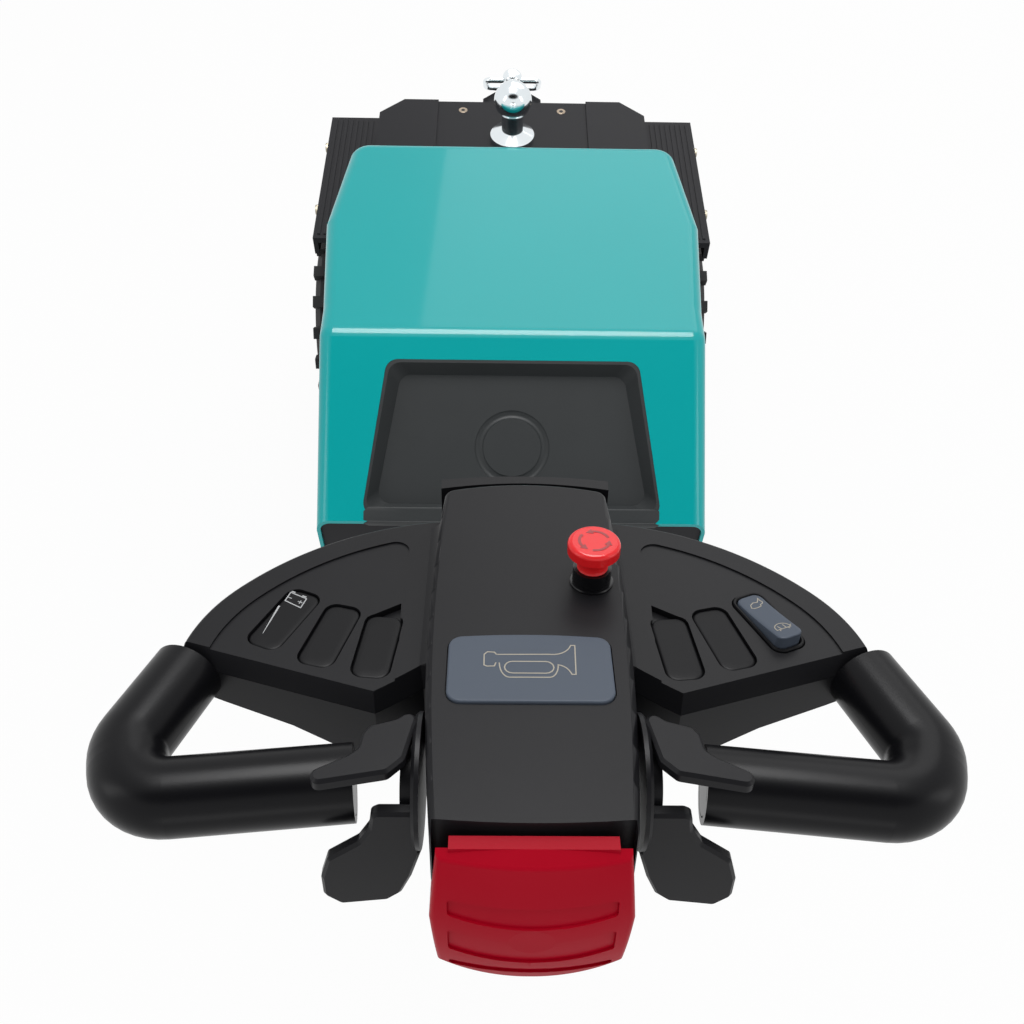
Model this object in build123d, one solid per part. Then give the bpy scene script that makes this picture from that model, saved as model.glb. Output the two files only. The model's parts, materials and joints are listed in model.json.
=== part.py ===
from build123d import *
import os
from math import atan2, cos, degrees, hypot, pi, radians, sin, tan

# Electric tow tractor for one walking operator: a low chassis on two driven wheels and
# two castors, a hood with a storage tray, a tiller with a grip head, and a tow ball with
# a drop-pin coupling at the far end.
# Millimetres. X is across, +Y points from the operator to the hitch, +Z is up, the floor
# is Z = 0 and Y = 0 is the middle of the whole length.

overrun = 60.0            # how far a cutting tool passes the face it cuts
seat_gap = 0.3            # air between two curved or hidden faces that seat together
run_gap = 5.5             # air between a turning piece and what it passes
pin_clearance = 0.3       # air all round a pin or shaft in its bore

# Drive wheels
wheel_radius = 152.0
tyre_width = 60.0
wheel_x = 240.0
drive_axle_y = 407.0
lug_depth = 7.0
lug_count = 22
lug_length_share = 0.52   # of the tyre width
lug_thickness = 15.0
rim_radius = 88.0
rim_wall = 6.0
hub_radius = 34.0
shaft_radius = 12.5

# Chassis
plate = 6.0
pan_z = 150.0
pan_width = 410.0
pan_front_y = -83.0
pan_rear_y = 217.0
pan_flange = 50.0
nose_plate_height = 88.0
rear_frame_width = 370.0
rear_frame_z = 215.0
deck_z = 404.0
deck_thickness = 8.0
deck_recess = 3.0
deck_recess_width = 208.0
deck_under_hood = 32.0    # how far the deck reaches in under the hood
deck_rear_y = 590.0
deck_rear_width = 304.0
deck_corner_length = 32.0

# Transaxle and motor
axle_tube_radius = 32.0
gear_case_radius = 74.0
gear_case_half = 46.0
gear_cone_half = 92.0
axle_flange_radius = 54.0
axle_flange = 6.0
motor_radius = 60.0
motor_length = 88.0
snout_radius = 50.0
snout_length = 76.0
motor_cap_radius = 40.0
motor_cap = 8.0

# Battery, a plain block
battery_width = 300.0
battery_length = 195.0
battery_height = 180.0

# Fenders
fender_width = 70.0
fender_outer_x = 258.0
fender_drop = 31.0        # fender's top below the deck's top
fender_thickness = 8.0
fender_length = 262.0
fender_lip = 26.0
fender_rib_count = 9
fender_rib_height = 1.2

# Hood
hood_wall = 4.0
hood_front_y = -89.0
hood_low_z = 205.0
slope_low_z = 331.0
ridge_y = 87.0
hood_top_z = 447.0
hood_rear_y = 432.0
hood_corner_radius = 26.0
hood_nose_width = 432.0
hood_shoulder_width = 454.0
hood_shoulder_y = 277.0
hood_rear_width = 414.0
hood_edge_radius = 16.0
ridge_radius = 22.0
arch_gap = 14.0
nose_panel_z = 240.0
nose_panel_inset = 3.0

# Storage tray, in the hood's front slope
tray_top_share = 0.85     # of the slope's length, from its lower edge
tray_low_share = 0.03
tray_top_half = 139.0
tray_low_half = 165.0
tray_depth = 22.0
tray_wall = 3.0
tray_floor = 5.0
tray_rim = 12.0
tray_corner = 14.0
tray_draft = 14.0
cup_radius = 43.0
cup_groove_radius = 6.0   # of the groove's round section
cup_share = 0.40
cup_depth = 2.5

# Hitch
ball_radius = 25.0
ball_neck_radius = 14.5
ball_height = 51.0
ball_y = 507.0
flange_radius = 30.0
flange_thickness = 7.0
jaw_width = 84.0
jaw_length = 52.0
jaw_plate = 12.0
jaw_drop = 38.0           # upper plate's lower face below the deck's top
jaw_throat = 44.0
jaw_back = 12.0
hitch_pin_radius = 10.0
hitch_pin_head_radius = 13.5
hitch_pin_rise = 21.0     # head's top above the deck
hitch_pin_tail = 16.0
handle_wire = 4.0
handle_width = 84.0
handle_drop = 26.0
handle_reach = 22.0

# Castors
castor_radius = 50.0
castor_width = 32.0
castor_x = 130.0
castor_y = -35.0
castor_trail = 34.0
castor_leg = 4.0
castor_leg_width = 34.0
castor_crown = 8.0
castor_crown_radius = 30.0
castor_pin_radius = 7.0
castor_boss_radius = 22.0
castor_plate_size = 90.0
castor_axle_radius = 5.0

# Tiller
pivot_y = -135.0
pivot_z = 200.0
pivot_pin_radius = 8.0
ear_inner_x = 31.0
ear_thickness = 8.0
ear_radius = 26.0
arm_angle = 62.0
arm_width = 56.0
arm_depth = 36.0
arm_wall = 4.0
arm_boss_radius = 22.0
neck_wall = 6.0
neck_length = 74.0
neck_share = 0.76         # of wing_far_root, where the arm meets the head

# Tiller head, in its own plane: across, along (away from the operator and down), up
head_y = -546.0
head_z = 839.0
head_slope = 17.4
spine_half = 50.0         # at its widest
spine_near = -69.5
spine_far = 175.0
spine_corner = 7.0
near_sag_share = 0.3      # of spine_corner, how far the near edge draws back at its ends
spine_near_share = 0.852  # of spine_half, at its near end
spine_far_share = 0.92
spine_wide_share = 0.43   # of spine_far, where it is widest
spine_round = 3.0
wing_half = 175.0
wing_far_root = 167.0
lid_drop = 22.0           # wing top below the spine's top
lid_split = 34.0          # lid's lower face below the spine's top
lid_notch_half = 42.0     # opening over the emergency button
lid_notch_near = -62.1
lid_notch_bow = 1.9
rim_slope = 20.0          # the rim band's lean from upright, in degrees
cove_size = 10.0
rim_band = 13.0
panel_recess = 1.0
panel_start = 66.0        # across, where the recessed panel begins beside the spine
panel_corner = 8.0
rim_round = 2.0
lip_along = 186.0
lip_half = 49.0
lip_thickness = 6.0
lip_gap = 4.0
housing_near = -61.0
housing_half = 41.0
grip_radius = 18.5
grip_outer_half = 192.0
grip_drop = 39.5
grip_bend = 22.0
grip_cap_radius = 14.5
grip_cap_depth = 1.5
horn_half = 39.0
horn_near = 2.5
horn_far = 46.5
horn_crown = 2.0
horn_height = 3.0
horn_corner = 7.0
stop_along = 88.0
stop_across = 33.0
stop_knob_radius = 13.5
stop_collar_radius = 10.0
paddle_along = -16.0
paddle_drop = 31.0
paddle_hub_radius = 31.0
paddle_hub_thickness = 3.5
paddle_boss_radius = 12.0
paddle_boss_length = 9.0
paddle_blade = 7.0
paddle_corner = 4.0
paddle_round = 1.5
lower_blade_share = 0.85  # of the hub's radius, the lower blade before the hub's middle
belly_half = 43.3
belly_top = 5.0
belly_drop = 86.0
belly_front = -84.0
belly_ledge = 4.0
belly_ledge_half = 34.8
belly_ledge_gap = 2.6
belly_ledge_height = 10.0
belly_bow = 5.5
belly_bevel_top = 13.0    # back from the button's front
belly_bevel_foot = 6.5
belly_bevel_drop = 4.5
belly_round = 3.0
belly_band_depth = 1.2
belly_band_half = 35.5
belly_band_round = 1.8
switch_width = 20.0
switch_corner = 6.5
switch_length = 46.0
switch_depth = 5.0

# Outlines of the head, half of each: across as shares of the half width, along as shares of
# wing_far_root; a row is a corner, or a middle and an end of an arc
wing_near_shares = [((0.309, 0.287),), ((0.366, 0.240), (0.434, 0.189)), ((1.0, 0.383),)]
wing_rim_shares = [((0.961, 0.516), (0.891, 0.635)), ((0.630, 0.872), (0.263, 1.0))]
# Depth of the housing below the parting, by share of the wing's half width
housing_depth_rows = [(1.1, 50.0), (0.90, 55.5), (0.69, 60.0), (0.57, 66.0), (0.28, 76.0)]
# Switch wells: across as a share of the half width, along of wing_far_root, turn in degrees
switch_rows_shares = [(0.44, 0.378, 6.0), (0.585, 0.422, 15.0), (0.73, 0.494, 24.0)]
# The innermost well's wider far corner, in the same shares
well_corner_shares = [(0.483, 0.503), (0.384, 0.569), (0.378, 0.395), (0.457, 0.395)]
# The grip's corners from the wing round to its free end: across as shares of
# grip_outer_half, along of wing_far_root
grip_corner_shares = [(0.859, 0.55), (1.0, 0.047), (0.951, -0.131), (0.424, -0.065)]
# The stop knob's profile from its stem up: out as shares of its radius, up as shares of
# stop_collar_radius above the collar
stop_profile_shares = [
    ((0.593, 0.0),), ((0.622, 0.68), (1.0, 1.0)), ((1.0, 1.4),), ((0.95, 1.6), (0.82, 1.68)),
]
# The upper blade seen from above, and the lower one from the operator's side, from the
# hub outward: out from the hub's face and along or down, in shares of paddle_hub_radius
upper_blade_shares = [
    (0.0, 0.65), (0.36, 0.32), (0.74, 0.19), (0.83, 0.06), (0.87, -0.23), (1.0, -0.35),
    (1.47, -0.62), (1.45, -0.87), (0.42, -0.66), (0.20, -0.42),
]
lower_blade_shares = [
    (0.0, 0.30), (0.67, 0.30), (0.72, -0.05), (0.89, -0.36), (1.37, -0.76), (1.50, -1.22),
    (1.50, -1.66), (1.25, -1.89), (0.53, -1.78), (0.33, -1.60), (0.16, -1.18), (0.0, -0.60),
]
# Bands pressed into the button, as shares of its height: upper edge at the ends and in the
# middle, then lower edge at the ends and in the middle
belly_band_shares = [
    (0.335, 0.345, 0.440, 0.493), (0.550, 0.604, 0.718, 0.789), (0.836, 0.860, 0.885, 0.915),
]
# Right half of the button's outline: across as shares of belly_half, down of belly_drop
belly_outline_shares = [((0.92, 0.058),), ((1.0, 0.5),), ((0.94, 0.88),), ((0.5, 0.97), (0.0, 1.0))]


# Sizes that follow
axle_z = wheel_radius
jaw_upper_z = deck_z - jaw_drop
hitch_pin_top_z = deck_z + hitch_pin_rise
fender_z = deck_z - fender_drop
deck_front_y = hood_rear_y - deck_under_hood
slope_angle = degrees(atan2(hood_top_z - slope_low_z, ridge_y - hood_front_y))
slope_length = hypot(hood_top_z - slope_low_z, ridge_y - hood_front_y)
deck_under_z = deck_z - deck_thickness
hitch_pin_y = deck_rear_y + jaw_back + jaw_length / 2
jaw_low_z = jaw_upper_z - jaw_throat - jaw_plate
handle_z = hitch_pin_top_z - hitch_pin_head_radius
castor_axle_z = castor_radius
castor_crown_z = 2 * castor_radius + run_gap
castor_inner = castor_width / 2 + run_gap
head_plane = Plane(
    origin=(0, head_y, head_z),
    x_dir=(1, 0, 0),
    z_dir=(0, sin(radians(head_slope)), cos(radians(head_slope))),
)
slope_plane = Plane(
    origin=(0, hood_front_y, slope_low_z),
    x_dir=(1, 0, 0),
    z_dir=(0, -sin(radians(slope_angle)), cos(radians(slope_angle))),
)
arm_plane = Plane(
    origin=(0, pivot_y, pivot_z),
    x_dir=(1, 0, 0),
    z_dir=(0, -cos(radians(arm_angle)), sin(radians(arm_angle))),
)

# Places of the switch wells on both wings: across, along, turn
switch_rows = [
    (side * wing_half * across, wing_far_root * along, side * turn)
    for side in (-1, 1) for across, along, turn in switch_rows_shares
]

parts = {}


def span(x0, x1, y0, y1, z0, z1):
    """A block between its lowest and highest corners."""
    return Pos((x0 + x1) / 2, (y0 + y1) / 2, (z0 + z1) / 2) * Box(x1 - x0, y1 - y0, z1 - z0)


def rod(start, end, radius):
    """A round bar between two points."""
    axis = Vector(*end) - Vector(*start)
    return Plane(origin=start, z_dir=axis.normalized()) * Cylinder(
        radius, axis.length, align=(Align.CENTER, Align.CENTER, Align.MIN)
    )


def prism_x(points, x0, x1):
    """An outline of (y, z) points, carried across from x0 to x1."""
    face = make_face(Polyline(*[(0, y, z) for y, z in points], close=True))
    return Pos(x0, 0, 0) * extrude(face, amount=x1 - x0, dir=(1, 0, 0))


def prism_z(points, z0, z1):
    """An outline of (x, y) points, carried up from z0 to z1."""
    face = make_face(Polyline(*[(x, y, 0) for x, y in points], close=True))
    return Pos(0, 0, z0) * extrude(face, amount=z1 - z0, dir=(0, 0, 1))


def mirrored(points):
    """Right-hand (x, y) points and their mirror images, as one closed outline."""
    return list(points) + [(-x, y) for x, y in reversed(points)]


def flip(piece):
    """The same piece on the other side of the machine."""
    return mirror(piece, about=Plane.YZ)


# Chassis
def frame_pan():
    half = pan_width / 2
    pan = span(-half, half, pan_front_y, pan_rear_y, pan_z, pan_z + plate)
    for side in (-1, 1):
        pan += span(
            min(side * half, side * (half - plate)), max(side * half, side * (half - plate)),
            pan_front_y, pan_rear_y, pan_z, pan_z + pan_flange,
        )
    pan += span(-half, half, pan_front_y, pan_front_y + plate, pan_z, pan_z + nose_plate_height)
    pan += span(-half, half, pan_rear_y - plate, pan_rear_y, pan_z, pan_z + pan_flange)
    return pan


def rear_plan(inset):
    """The deck's outline seen from above, drawn in by a wall."""
    front = pan_rear_y + inset
    return mirrored([
        (rear_frame_width / 2 - inset, front),
        (rear_frame_width / 2 - inset, deck_rear_y - deck_corner_length - inset / 2),
        (deck_rear_width / 2 - inset / 2, deck_rear_y - inset),
    ])


def rear_frame():
    half = rear_frame_width / 2
    front = pan_rear_y
    rear_low = jaw_upper_z - jaw_throat - 2 * jaw_plate
    outline = [
        (front, pan_z),
        (front + castor_radius, pan_z - castor_leg_width),
        (drive_axle_y + rim_radius, pan_z - castor_leg_width),
        (deck_rear_y, rear_low),
        (deck_rear_y, deck_under_z),
        (deck_front_y, deck_under_z),
        (front, rear_frame_z),
    ]
    frame = prism_z(rear_plan(0), 0, deck_under_z) - prism_z(rear_plan(plate), 0, deck_under_z)
    frame &= prism_x(outline, -half, half)
    return frame - rod(
        (-half - overrun, drive_axle_y, axle_z), (half + overrun, drive_axle_y, axle_z),
        axle_tube_radius + pin_clearance,
    )


def transaxle():
    half = rear_frame_width / 2
    rows = [
        (0, gear_case_radius),
        (gear_case_half, gear_case_radius),
        (gear_cone_half, axle_tube_radius),
        (half, axle_tube_radius),
        (half, axle_flange_radius),
        (half + axle_flange, axle_flange_radius),
        (half + axle_flange, shaft_radius),
        (wheel_x + tyre_width / 2, shaft_radius),
        (wheel_x + tyre_width / 2, 0),
    ]
    outline = [(x, 0, r) for x, r in rows] + [(-x, 0, r) for x, r in reversed(rows[1:])]
    case = revolve(make_face(Polyline(*outline, close=True)), axis=Axis.X)
    case = Pos(0, drive_axle_y, axle_z) * case
    return case + rod(
        (0, drive_axle_y, axle_z), (0, drive_axle_y - snout_length, axle_z), snout_radius
    )


def drive_motor():
    front = drive_axle_y - snout_length
    body = rod((0, front, axle_z), (0, front - motor_length, axle_z), motor_radius)
    body = chamfer(body.edges().group_by(Axis.Y)[0], motor_cap / 2)
    return body + rod(
        (0, front - motor_length, axle_z), (0, front - motor_length - motor_cap, axle_z),
        motor_cap_radius,
    )


def battery_block():
    front = pan_rear_y - plate - seat_gap - battery_length
    low = pan_z + plate
    return span(
        -battery_width / 2, battery_width / 2, front, front + battery_length, low,
        low + battery_height,
    )


# Deck, fenders and hitch
def hitch_deck():
    front = deck_front_y
    deck = prism_z(rear_plan(0), deck_under_z, deck_z)
    deck -= span(
        -rear_frame_width, rear_frame_width, 0, front, deck_under_z - overrun, deck_z + overrun
    )
    return deck - span(
        -deck_recess_width / 2, deck_recess_width / 2, front - overrun, deck_rear_y + overrun,
        deck_z - deck_recess, deck_z + overrun,
    )


def fender():
    inner = rear_frame_width / 2
    far = deck_rear_y
    near = far - fender_length
    top = fender_z
    piece = span(inner, fender_outer_x, near, far, top - fender_thickness, top)
    piece += span(fender_outer_x - plate, fender_outer_x, near, far, top - fender_lip, top)
    pitch = (fender_outer_x - inner) / (fender_rib_count + 1)
    for row in range(fender_rib_count):
        middle = inner + pitch * (row + 1)
        piece += span(
            middle - pitch / 4, middle + pitch / 4, near + pitch, far - pitch, top,
            top + fender_rib_height,
        )
    return piece


def tow_ball():
    foot = deck_z - deck_recess
    centre = foot + flange_thickness + ball_height
    neck_top = centre - (ball_radius ** 2 - ball_neck_radius ** 2) ** 0.5
    outline = Polyline(
        (0, 0, foot),
        (flange_radius, 0, foot),
        (flange_radius, 0, foot + flange_thickness),
        (ball_neck_radius, 0, foot + 2 * flange_thickness),
        (ball_neck_radius, 0, neck_top),
    )
    cap = ThreePointArc(
        (ball_neck_radius, 0, neck_top), (ball_radius, 0, centre), (0, 0, centre + ball_radius)
    )
    spine = Line((0, 0, centre + ball_radius), (0, 0, foot))
    return Pos(0, ball_y, 0) * revolve(make_face(outline + cap + spine), axis=Axis.Z)


def coupling_jaw():
    back = deck_rear_y
    tip = back + jaw_back + jaw_length
    low = jaw_upper_z - jaw_throat - jaw_plate
    jaw = span(-jaw_width / 2, jaw_width / 2, back, back + jaw_back, low, jaw_upper_z + jaw_plate)
    for base in (low, jaw_upper_z):
        jaw += span(-jaw_width / 2, jaw_width / 2, back, tip, base, base + jaw_plate)
    jaw = chamfer(
        jaw.edges().filter_by(Axis.Z).group_by(Axis.Y)[-1], jaw_width / 4
    )
    return jaw - rod(
        (0, hitch_pin_y, low - overrun), (0, hitch_pin_y, jaw_upper_z + jaw_plate + overrun),
        hitch_pin_radius + pin_clearance,
    )


def hitch_pin():
    shoulder = jaw_upper_z + jaw_plate + seat_gap
    pin = rod(
        (0, hitch_pin_y, jaw_low_z - hitch_pin_tail), (0, hitch_pin_y, shoulder), hitch_pin_radius
    )
    pin = chamfer(pin.edges().group_by(Axis.Z)[0], hitch_pin_radius / 3)
    head = rod((0, hitch_pin_y, shoulder), (0, hitch_pin_y, hitch_pin_top_z), hitch_pin_head_radius)
    head = fillet(head.edges().group_by(Axis.Z)[-1], hitch_pin_head_radius * 0.6)
    pin += head
    across = hitch_pin_head_radius + overrun
    return pin - rod(
        (-across, hitch_pin_y, handle_z), (across, hitch_pin_y, handle_z),
        handle_wire + pin_clearance,
    )


def pin_handle():
    half = handle_width / 2 - handle_wire
    low = handle_z - handle_drop
    far = hitch_pin_y + handle_reach
    path = FilletPolyline(
        (0, hitch_pin_y, handle_z), (half, hitch_pin_y, handle_z), (half, far, low), (0, far, low),
        radius=handle_drop / 3,
    )
    section = Plane(origin=path @ 0, z_dir=path % 0) * Circle(handle_wire)
    right = sweep(section, path=path)
    return right + flip(right)


# Hood, nose and tray
def hood_side(inset):
    """The hood seen from the side, drawn in by a wall and open past its front."""
    rise = (hood_top_z - slope_low_z) / (ridge_y - hood_front_y)
    drop = inset * hypot(1, rise)
    knee = ridge_y + (drop - inset) / rise
    front = hood_front_y - overrun
    return [
        (front, hood_low_z - inset),
        (front, slope_low_z - overrun * rise - drop),
        (knee, hood_top_z - inset),
        (hood_rear_y - inset, hood_top_z - inset),
        (hood_rear_y - inset, hood_low_z - inset),
    ]


def hood_form(inset):
    """The hood's outer form, or with an inset its hollow, with ridge and edges rounded."""
    plan = mirrored([
        (hood_nose_width / 2 - inset, hood_front_y - overrun),
        (hood_nose_width / 2 - inset, ridge_y + 2 * ridge_radius),
        (hood_shoulder_width / 2 - inset, hood_shoulder_y),
        (hood_rear_width / 2 - inset, hood_rear_y - inset),
    ])
    form = prism_x(hood_side(inset), -hood_shoulder_width, hood_shoulder_width)
    form &= prism_z(plan, hood_low_z - inset, hood_top_z)
    corners = form.edges().filter_by(Axis.Z).group_by(Axis.Y)[-1]
    form = fillet(corners, hood_corner_radius - inset)
    ridge = [
        edge for edge in form.edges().filter_by(Axis.X)
        if abs(edge.center().Y - ridge_y) < hood_wall and edge.center().Z > slope_low_z
    ]
    form = fillet(ridge, ridge_radius - inset)
    front = hood_front_y - overrun + hood_wall
    rims = [
        edge for edge in form.edges()
        if edge.center().Z > hood_low_z + hood_wall and edge.center().Y > front
        and abs(edge.tangent_at(0.5).Z) < cos(radians(slope_angle))
        and (abs(edge.center().X) > hood_nose_width / 3 or edge.center().Y > hood_shoulder_y)
    ]
    form = fillet(rims, hood_edge_radius - inset)
    return form - span(
        -hood_shoulder_width, hood_shoulder_width, hood_front_y - 2 * overrun, hood_front_y,
        0, hood_top_z + overrun,
    )


def hood():
    shell = hood_form(0) - hood_form(hood_wall)
    near_wheel = drive_axle_y - wheel_radius - arch_gap
    shell -= span(
        -hood_shoulder_width, hood_shoulder_width, near_wheel, hood_rear_y + overrun,
        0, fender_z + fender_rib_height + seat_gap,
    )
    shell -= span(
        -rear_frame_width / 2 - plate, rear_frame_width / 2 + plate, deck_front_y,
        hood_rear_y + overrun, 0, deck_z + seat_gap,
    )
    return shell - slope_plane * tray_solid(seat_gap, -overrun, overrun)


def tray_outline(grow, corner):
    low = slope_length * tray_low_share - grow
    top = slope_length * tray_top_share + grow
    points = mirrored([(tray_low_half + grow, low), (tray_top_half + grow, top)])
    face = make_face(Polyline(*[(x, y, 0) for x, y in points], close=True))
    return fillet(face.vertices(), corner)


def tray_solid(grow, z0, z1):
    face = tray_outline(grow, tray_corner + grow)
    return Pos(0, 0, z0) * extrude(face, amount=z1 - z0, dir=(0, 0, 1))


def storage_tray():
    body = tray_solid(0, -tray_depth, 0)
    floor_face = Pos(0, 0, -tray_depth + tray_floor) * tray_outline(-tray_draft, tray_corner)
    mouth_face = Pos(0, 0, seat_gap) * tray_outline(-tray_wall, tray_corner)
    body -= loft([floor_face, mouth_face])
    cup_y = slope_length * cup_share
    lift = cup_groove_radius - cup_depth
    body -= Pos(0, cup_y, -tray_depth + tray_floor + lift) * Torus(
        cup_radius - cup_groove_radius, cup_groove_radius
    )
    return slope_plane * body


def nose_panel():
    half = hood_nose_width / 2 - hood_wall - seat_gap
    front = hood_front_y + nose_panel_inset
    panel = span(
        -half, half, front, pan_front_y, nose_panel_z, slope_low_z - hood_wall - seat_gap
    )
    panel = fillet(panel.edges().filter_by(Axis.Y).group_by(Axis.Z)[-1], hood_edge_radius)
    return panel + span(
        -ear_inner_x, ear_inner_x, front, pan_front_y, nose_panel_z, nose_panel_z + plate
    )


# Castors
def castor_mount():
    size = castor_plate_size / 2
    low = castor_crown_z + castor_crown + seat_gap
    piece = span(
        castor_x - size, castor_x + size, castor_y - size, castor_y + size, pan_z - plate, pan_z
    )
    piece += rod((castor_x, castor_y, low), (castor_x, castor_y, pan_z - plate), castor_boss_radius)
    return piece - rod(
        (castor_x, castor_y, low - overrun), (castor_x, castor_y, pan_z - castor_crown),
        castor_pin_radius + pin_clearance,
    )


def castor_fork():
    fork = rod(
        (castor_x, castor_y, castor_crown_z), (castor_x, castor_y, castor_crown_z + castor_crown),
        castor_crown_radius,
    )
    fork += rod(
        (castor_x, castor_y, castor_crown_z), (castor_x, castor_y, pan_z - 2 * castor_crown),
        castor_pin_radius,
    )
    axle_y = castor_y + castor_trail
    wide = castor_leg_width / 2
    low = castor_axle_z - wide
    for side in (-1, 1):
        inner = castor_x + side * castor_inner
        outer = castor_x + side * (castor_inner + castor_leg)
        leg = prism_x(
            [
                (castor_y - wide, castor_crown_z + castor_crown),
                (axle_y - wide, castor_axle_z),
                (axle_y - wide / 2, low),
                (axle_y + wide / 2, low),
                (axle_y + wide, castor_axle_z),
                (castor_y + wide, castor_crown_z + castor_crown),
            ],
            min(inner, outer), max(inner, outer),
        )
        fork += leg
    return fork - rod(
        (castor_x - overrun, axle_y, castor_axle_z), (castor_x + overrun, axle_y, castor_axle_z),
        castor_axle_radius + pin_clearance,
    )


def castor_axle():
    axle_y = castor_y + castor_trail
    reach = castor_inner + castor_leg
    axle = rod(
        (castor_x - reach, axle_y, castor_axle_z), (castor_x + reach, axle_y, castor_axle_z),
        castor_axle_radius,
    )
    for side in (-1, 1):
        axle += rod(
            (castor_x + side * reach, axle_y, castor_axle_z),
            (castor_x + side * (reach + castor_axle_radius), axle_y, castor_axle_z),
            castor_axle_radius * 1.7,
        )
    return axle


def castor_wheel():
    axle_y = castor_y + castor_trail
    wheel = rod(
        (castor_x - castor_width / 2, axle_y, castor_axle_z),
        (castor_x + castor_width / 2, axle_y, castor_axle_z), castor_radius,
    )
    wheel = fillet(wheel.edges(), castor_width / 6)
    return wheel - rod(
        (castor_x - overrun, axle_y, castor_axle_z), (castor_x + overrun, axle_y, castor_axle_z),
        castor_axle_radius + pin_clearance,
    )


# Drive wheels
def tyre():
    carcass = wheel_radius - lug_depth
    half = tyre_width / 2
    rows = [
        (-half, rim_radius), (-half, carcass - tyre_width / 4), (-half * 0.7, carcass),
        (half * 0.7, carcass), (half, carcass - tyre_width / 4), (half, rim_radius),
    ]
    face = make_face(Polyline(*[(x, 0, r) for x, r in rows], close=True))
    ring = revolve(face, axis=Axis.X)
    reach = tyre_width * lug_length_share
    for index in range(lug_count):
        angle = 360 / lug_count * index
        for side in (-1, 1):
            turn = angle + (90 / lug_count if side > 0 else -90 / lug_count)
            middle = side * (half - reach / 2)
            lug = Pos(middle, 0, wheel_radius - lug_depth) * Box(
                reach, lug_thickness, 2 * lug_depth
            )
            ring += Rot(turn, 0, 0) * lug
    ring &= Rot(0, 90, 0) * Cylinder(wheel_radius, tyre_width)
    return Pos(wheel_x, drive_axle_y, axle_z) * ring


def rim():
    half = tyre_width / 2
    hub_in = -(wheel_x - rear_frame_width / 2 - axle_flange - run_gap)
    rows = [
        (hub_in, 0), (hub_in, hub_radius), (-rim_wall, hub_radius), (-rim_wall, rim_radius - rim_wall),
        (-half, rim_radius - rim_wall), (-half, rim_radius - seat_gap), (half, rim_radius - seat_gap),
        (half, rim_radius - rim_wall), (rim_wall, rim_radius - rim_wall), (rim_wall, hub_radius),
        (half, hub_radius), (half, 0),
    ]
    face = make_face(Polyline(*[(x, 0, r) for x, r in rows], close=True))
    disc = revolve(face, axis=Axis.X)
    disc -= Rot(0, 90, 0) * Cylinder(shaft_radius + pin_clearance, 4 * tyre_width)
    return Pos(wheel_x, drive_axle_y, axle_z) * disc


# Tiller
def tiller_bracket():
    outer = ear_inner_x + ear_thickness
    bracket = span(-outer, outer, pan_front_y - plate, pan_front_y, pan_z, pan_z + plate * 2)
    for side in (-1, 1):
        inner = side * ear_inner_x
        bracket += prism_x(
            [
                (pan_front_y, pan_z), (pan_front_y, pan_z + nose_plate_height),
                (pivot_y, pivot_z + ear_radius), (pivot_y, pivot_z - ear_radius),
            ],
            min(inner, side * outer), max(inner, side * outer),
        )
        bracket += rod((inner, pivot_y, pivot_z), (side * outer, pivot_y, pivot_z), ear_radius)
    return bracket - rod(
        (-outer - overrun, pivot_y, pivot_z), (outer + overrun, pivot_y, pivot_z),
        pivot_pin_radius + pin_clearance,
    )


def tiller_pin():
    reach = ear_inner_x + ear_thickness + seat_gap
    pin = rod((-reach, pivot_y, pivot_z), (reach, pivot_y, pivot_z), pivot_pin_radius)
    for side in (-1, 1):
        pin += rod(
            (side * reach, pivot_y, pivot_z), (side * (reach + plate), pivot_y, pivot_z),
            pivot_pin_radius * 1.6,
        )
    return pin


def arm_length():
    """From the pivot to the underside of the head, along the arm."""
    drop = lid_split + 2 * plate
    along = wing_far_root * neck_share
    y = head_y + along * cos(radians(head_slope)) - drop * sin(radians(head_slope))
    z = head_z - along * sin(radians(head_slope)) - drop * cos(radians(head_slope))
    return hypot(y - pivot_y, z - pivot_z)


def tiller_arm():
    length = arm_length()
    tube = extrude(RectangleRounded(arm_width, arm_depth, arm_depth / 4), amount=length)
    hollow = RectangleRounded(
        arm_width - 2 * arm_wall, arm_depth - 2 * arm_wall, arm_depth / 4 - arm_wall / 2
    )
    tube -= Pos(0, 0, arm_boss_radius * 1.5) * extrude(hollow, amount=length)
    arm = arm_plane * tube
    arm -= head_plane * span(
        -wing_half, wing_half, spine_near, lip_along + overrun, -lid_split - 2 * plate, overrun
    )
    boss = ear_inner_x - run_gap / 4
    arm += rod((-boss, pivot_y, pivot_z), (boss, pivot_y, pivot_z), arm_boss_radius)
    return arm - rod(
        (-overrun, pivot_y, pivot_z), (overrun, pivot_y, pivot_z), pivot_pin_radius + pin_clearance
    )


# Tiller head
def trace(start, moves):
    """Lines and arcs from a start: a move is an end point, or a middle and an end point."""
    edges = []
    for move in moves:
        if len(move) == 1:
            edges.append(Line((*start, 0), (*move[0], 0)))
        else:
            edges.append(ThreePointArc((*start, 0), (*move[0], 0), (*move[1], 0)))
        start = move[-1]
    return edges


def both_halves(edges):
    """A face from the right half of its outline, given from the centre line and back to it."""
    half = Curve() + edges
    return make_face(half + mirror(half, about=Plane.YZ))


def wing_face():
    """Both wings seen from above, at the level of the lid's top."""
    rows = [
        tuple((wing_half * across, wing_far_root * along) for across, along in row)
        for row in wing_near_shares + wing_rim_shares
    ]
    start = (0, rows[0][0][1])
    return both_halves(trace(start, rows + [((0, wing_far_root),)]))


def wing_slab():
    """The wings of the lid: the rim band leans outward down to the parting."""
    slab = extrude(wing_face(), amount=lid_split - lid_drop, dir=(0, 0, -1), taper=-rim_slope)
    return Pos(0, 0, -lid_drop) * slab


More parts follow.
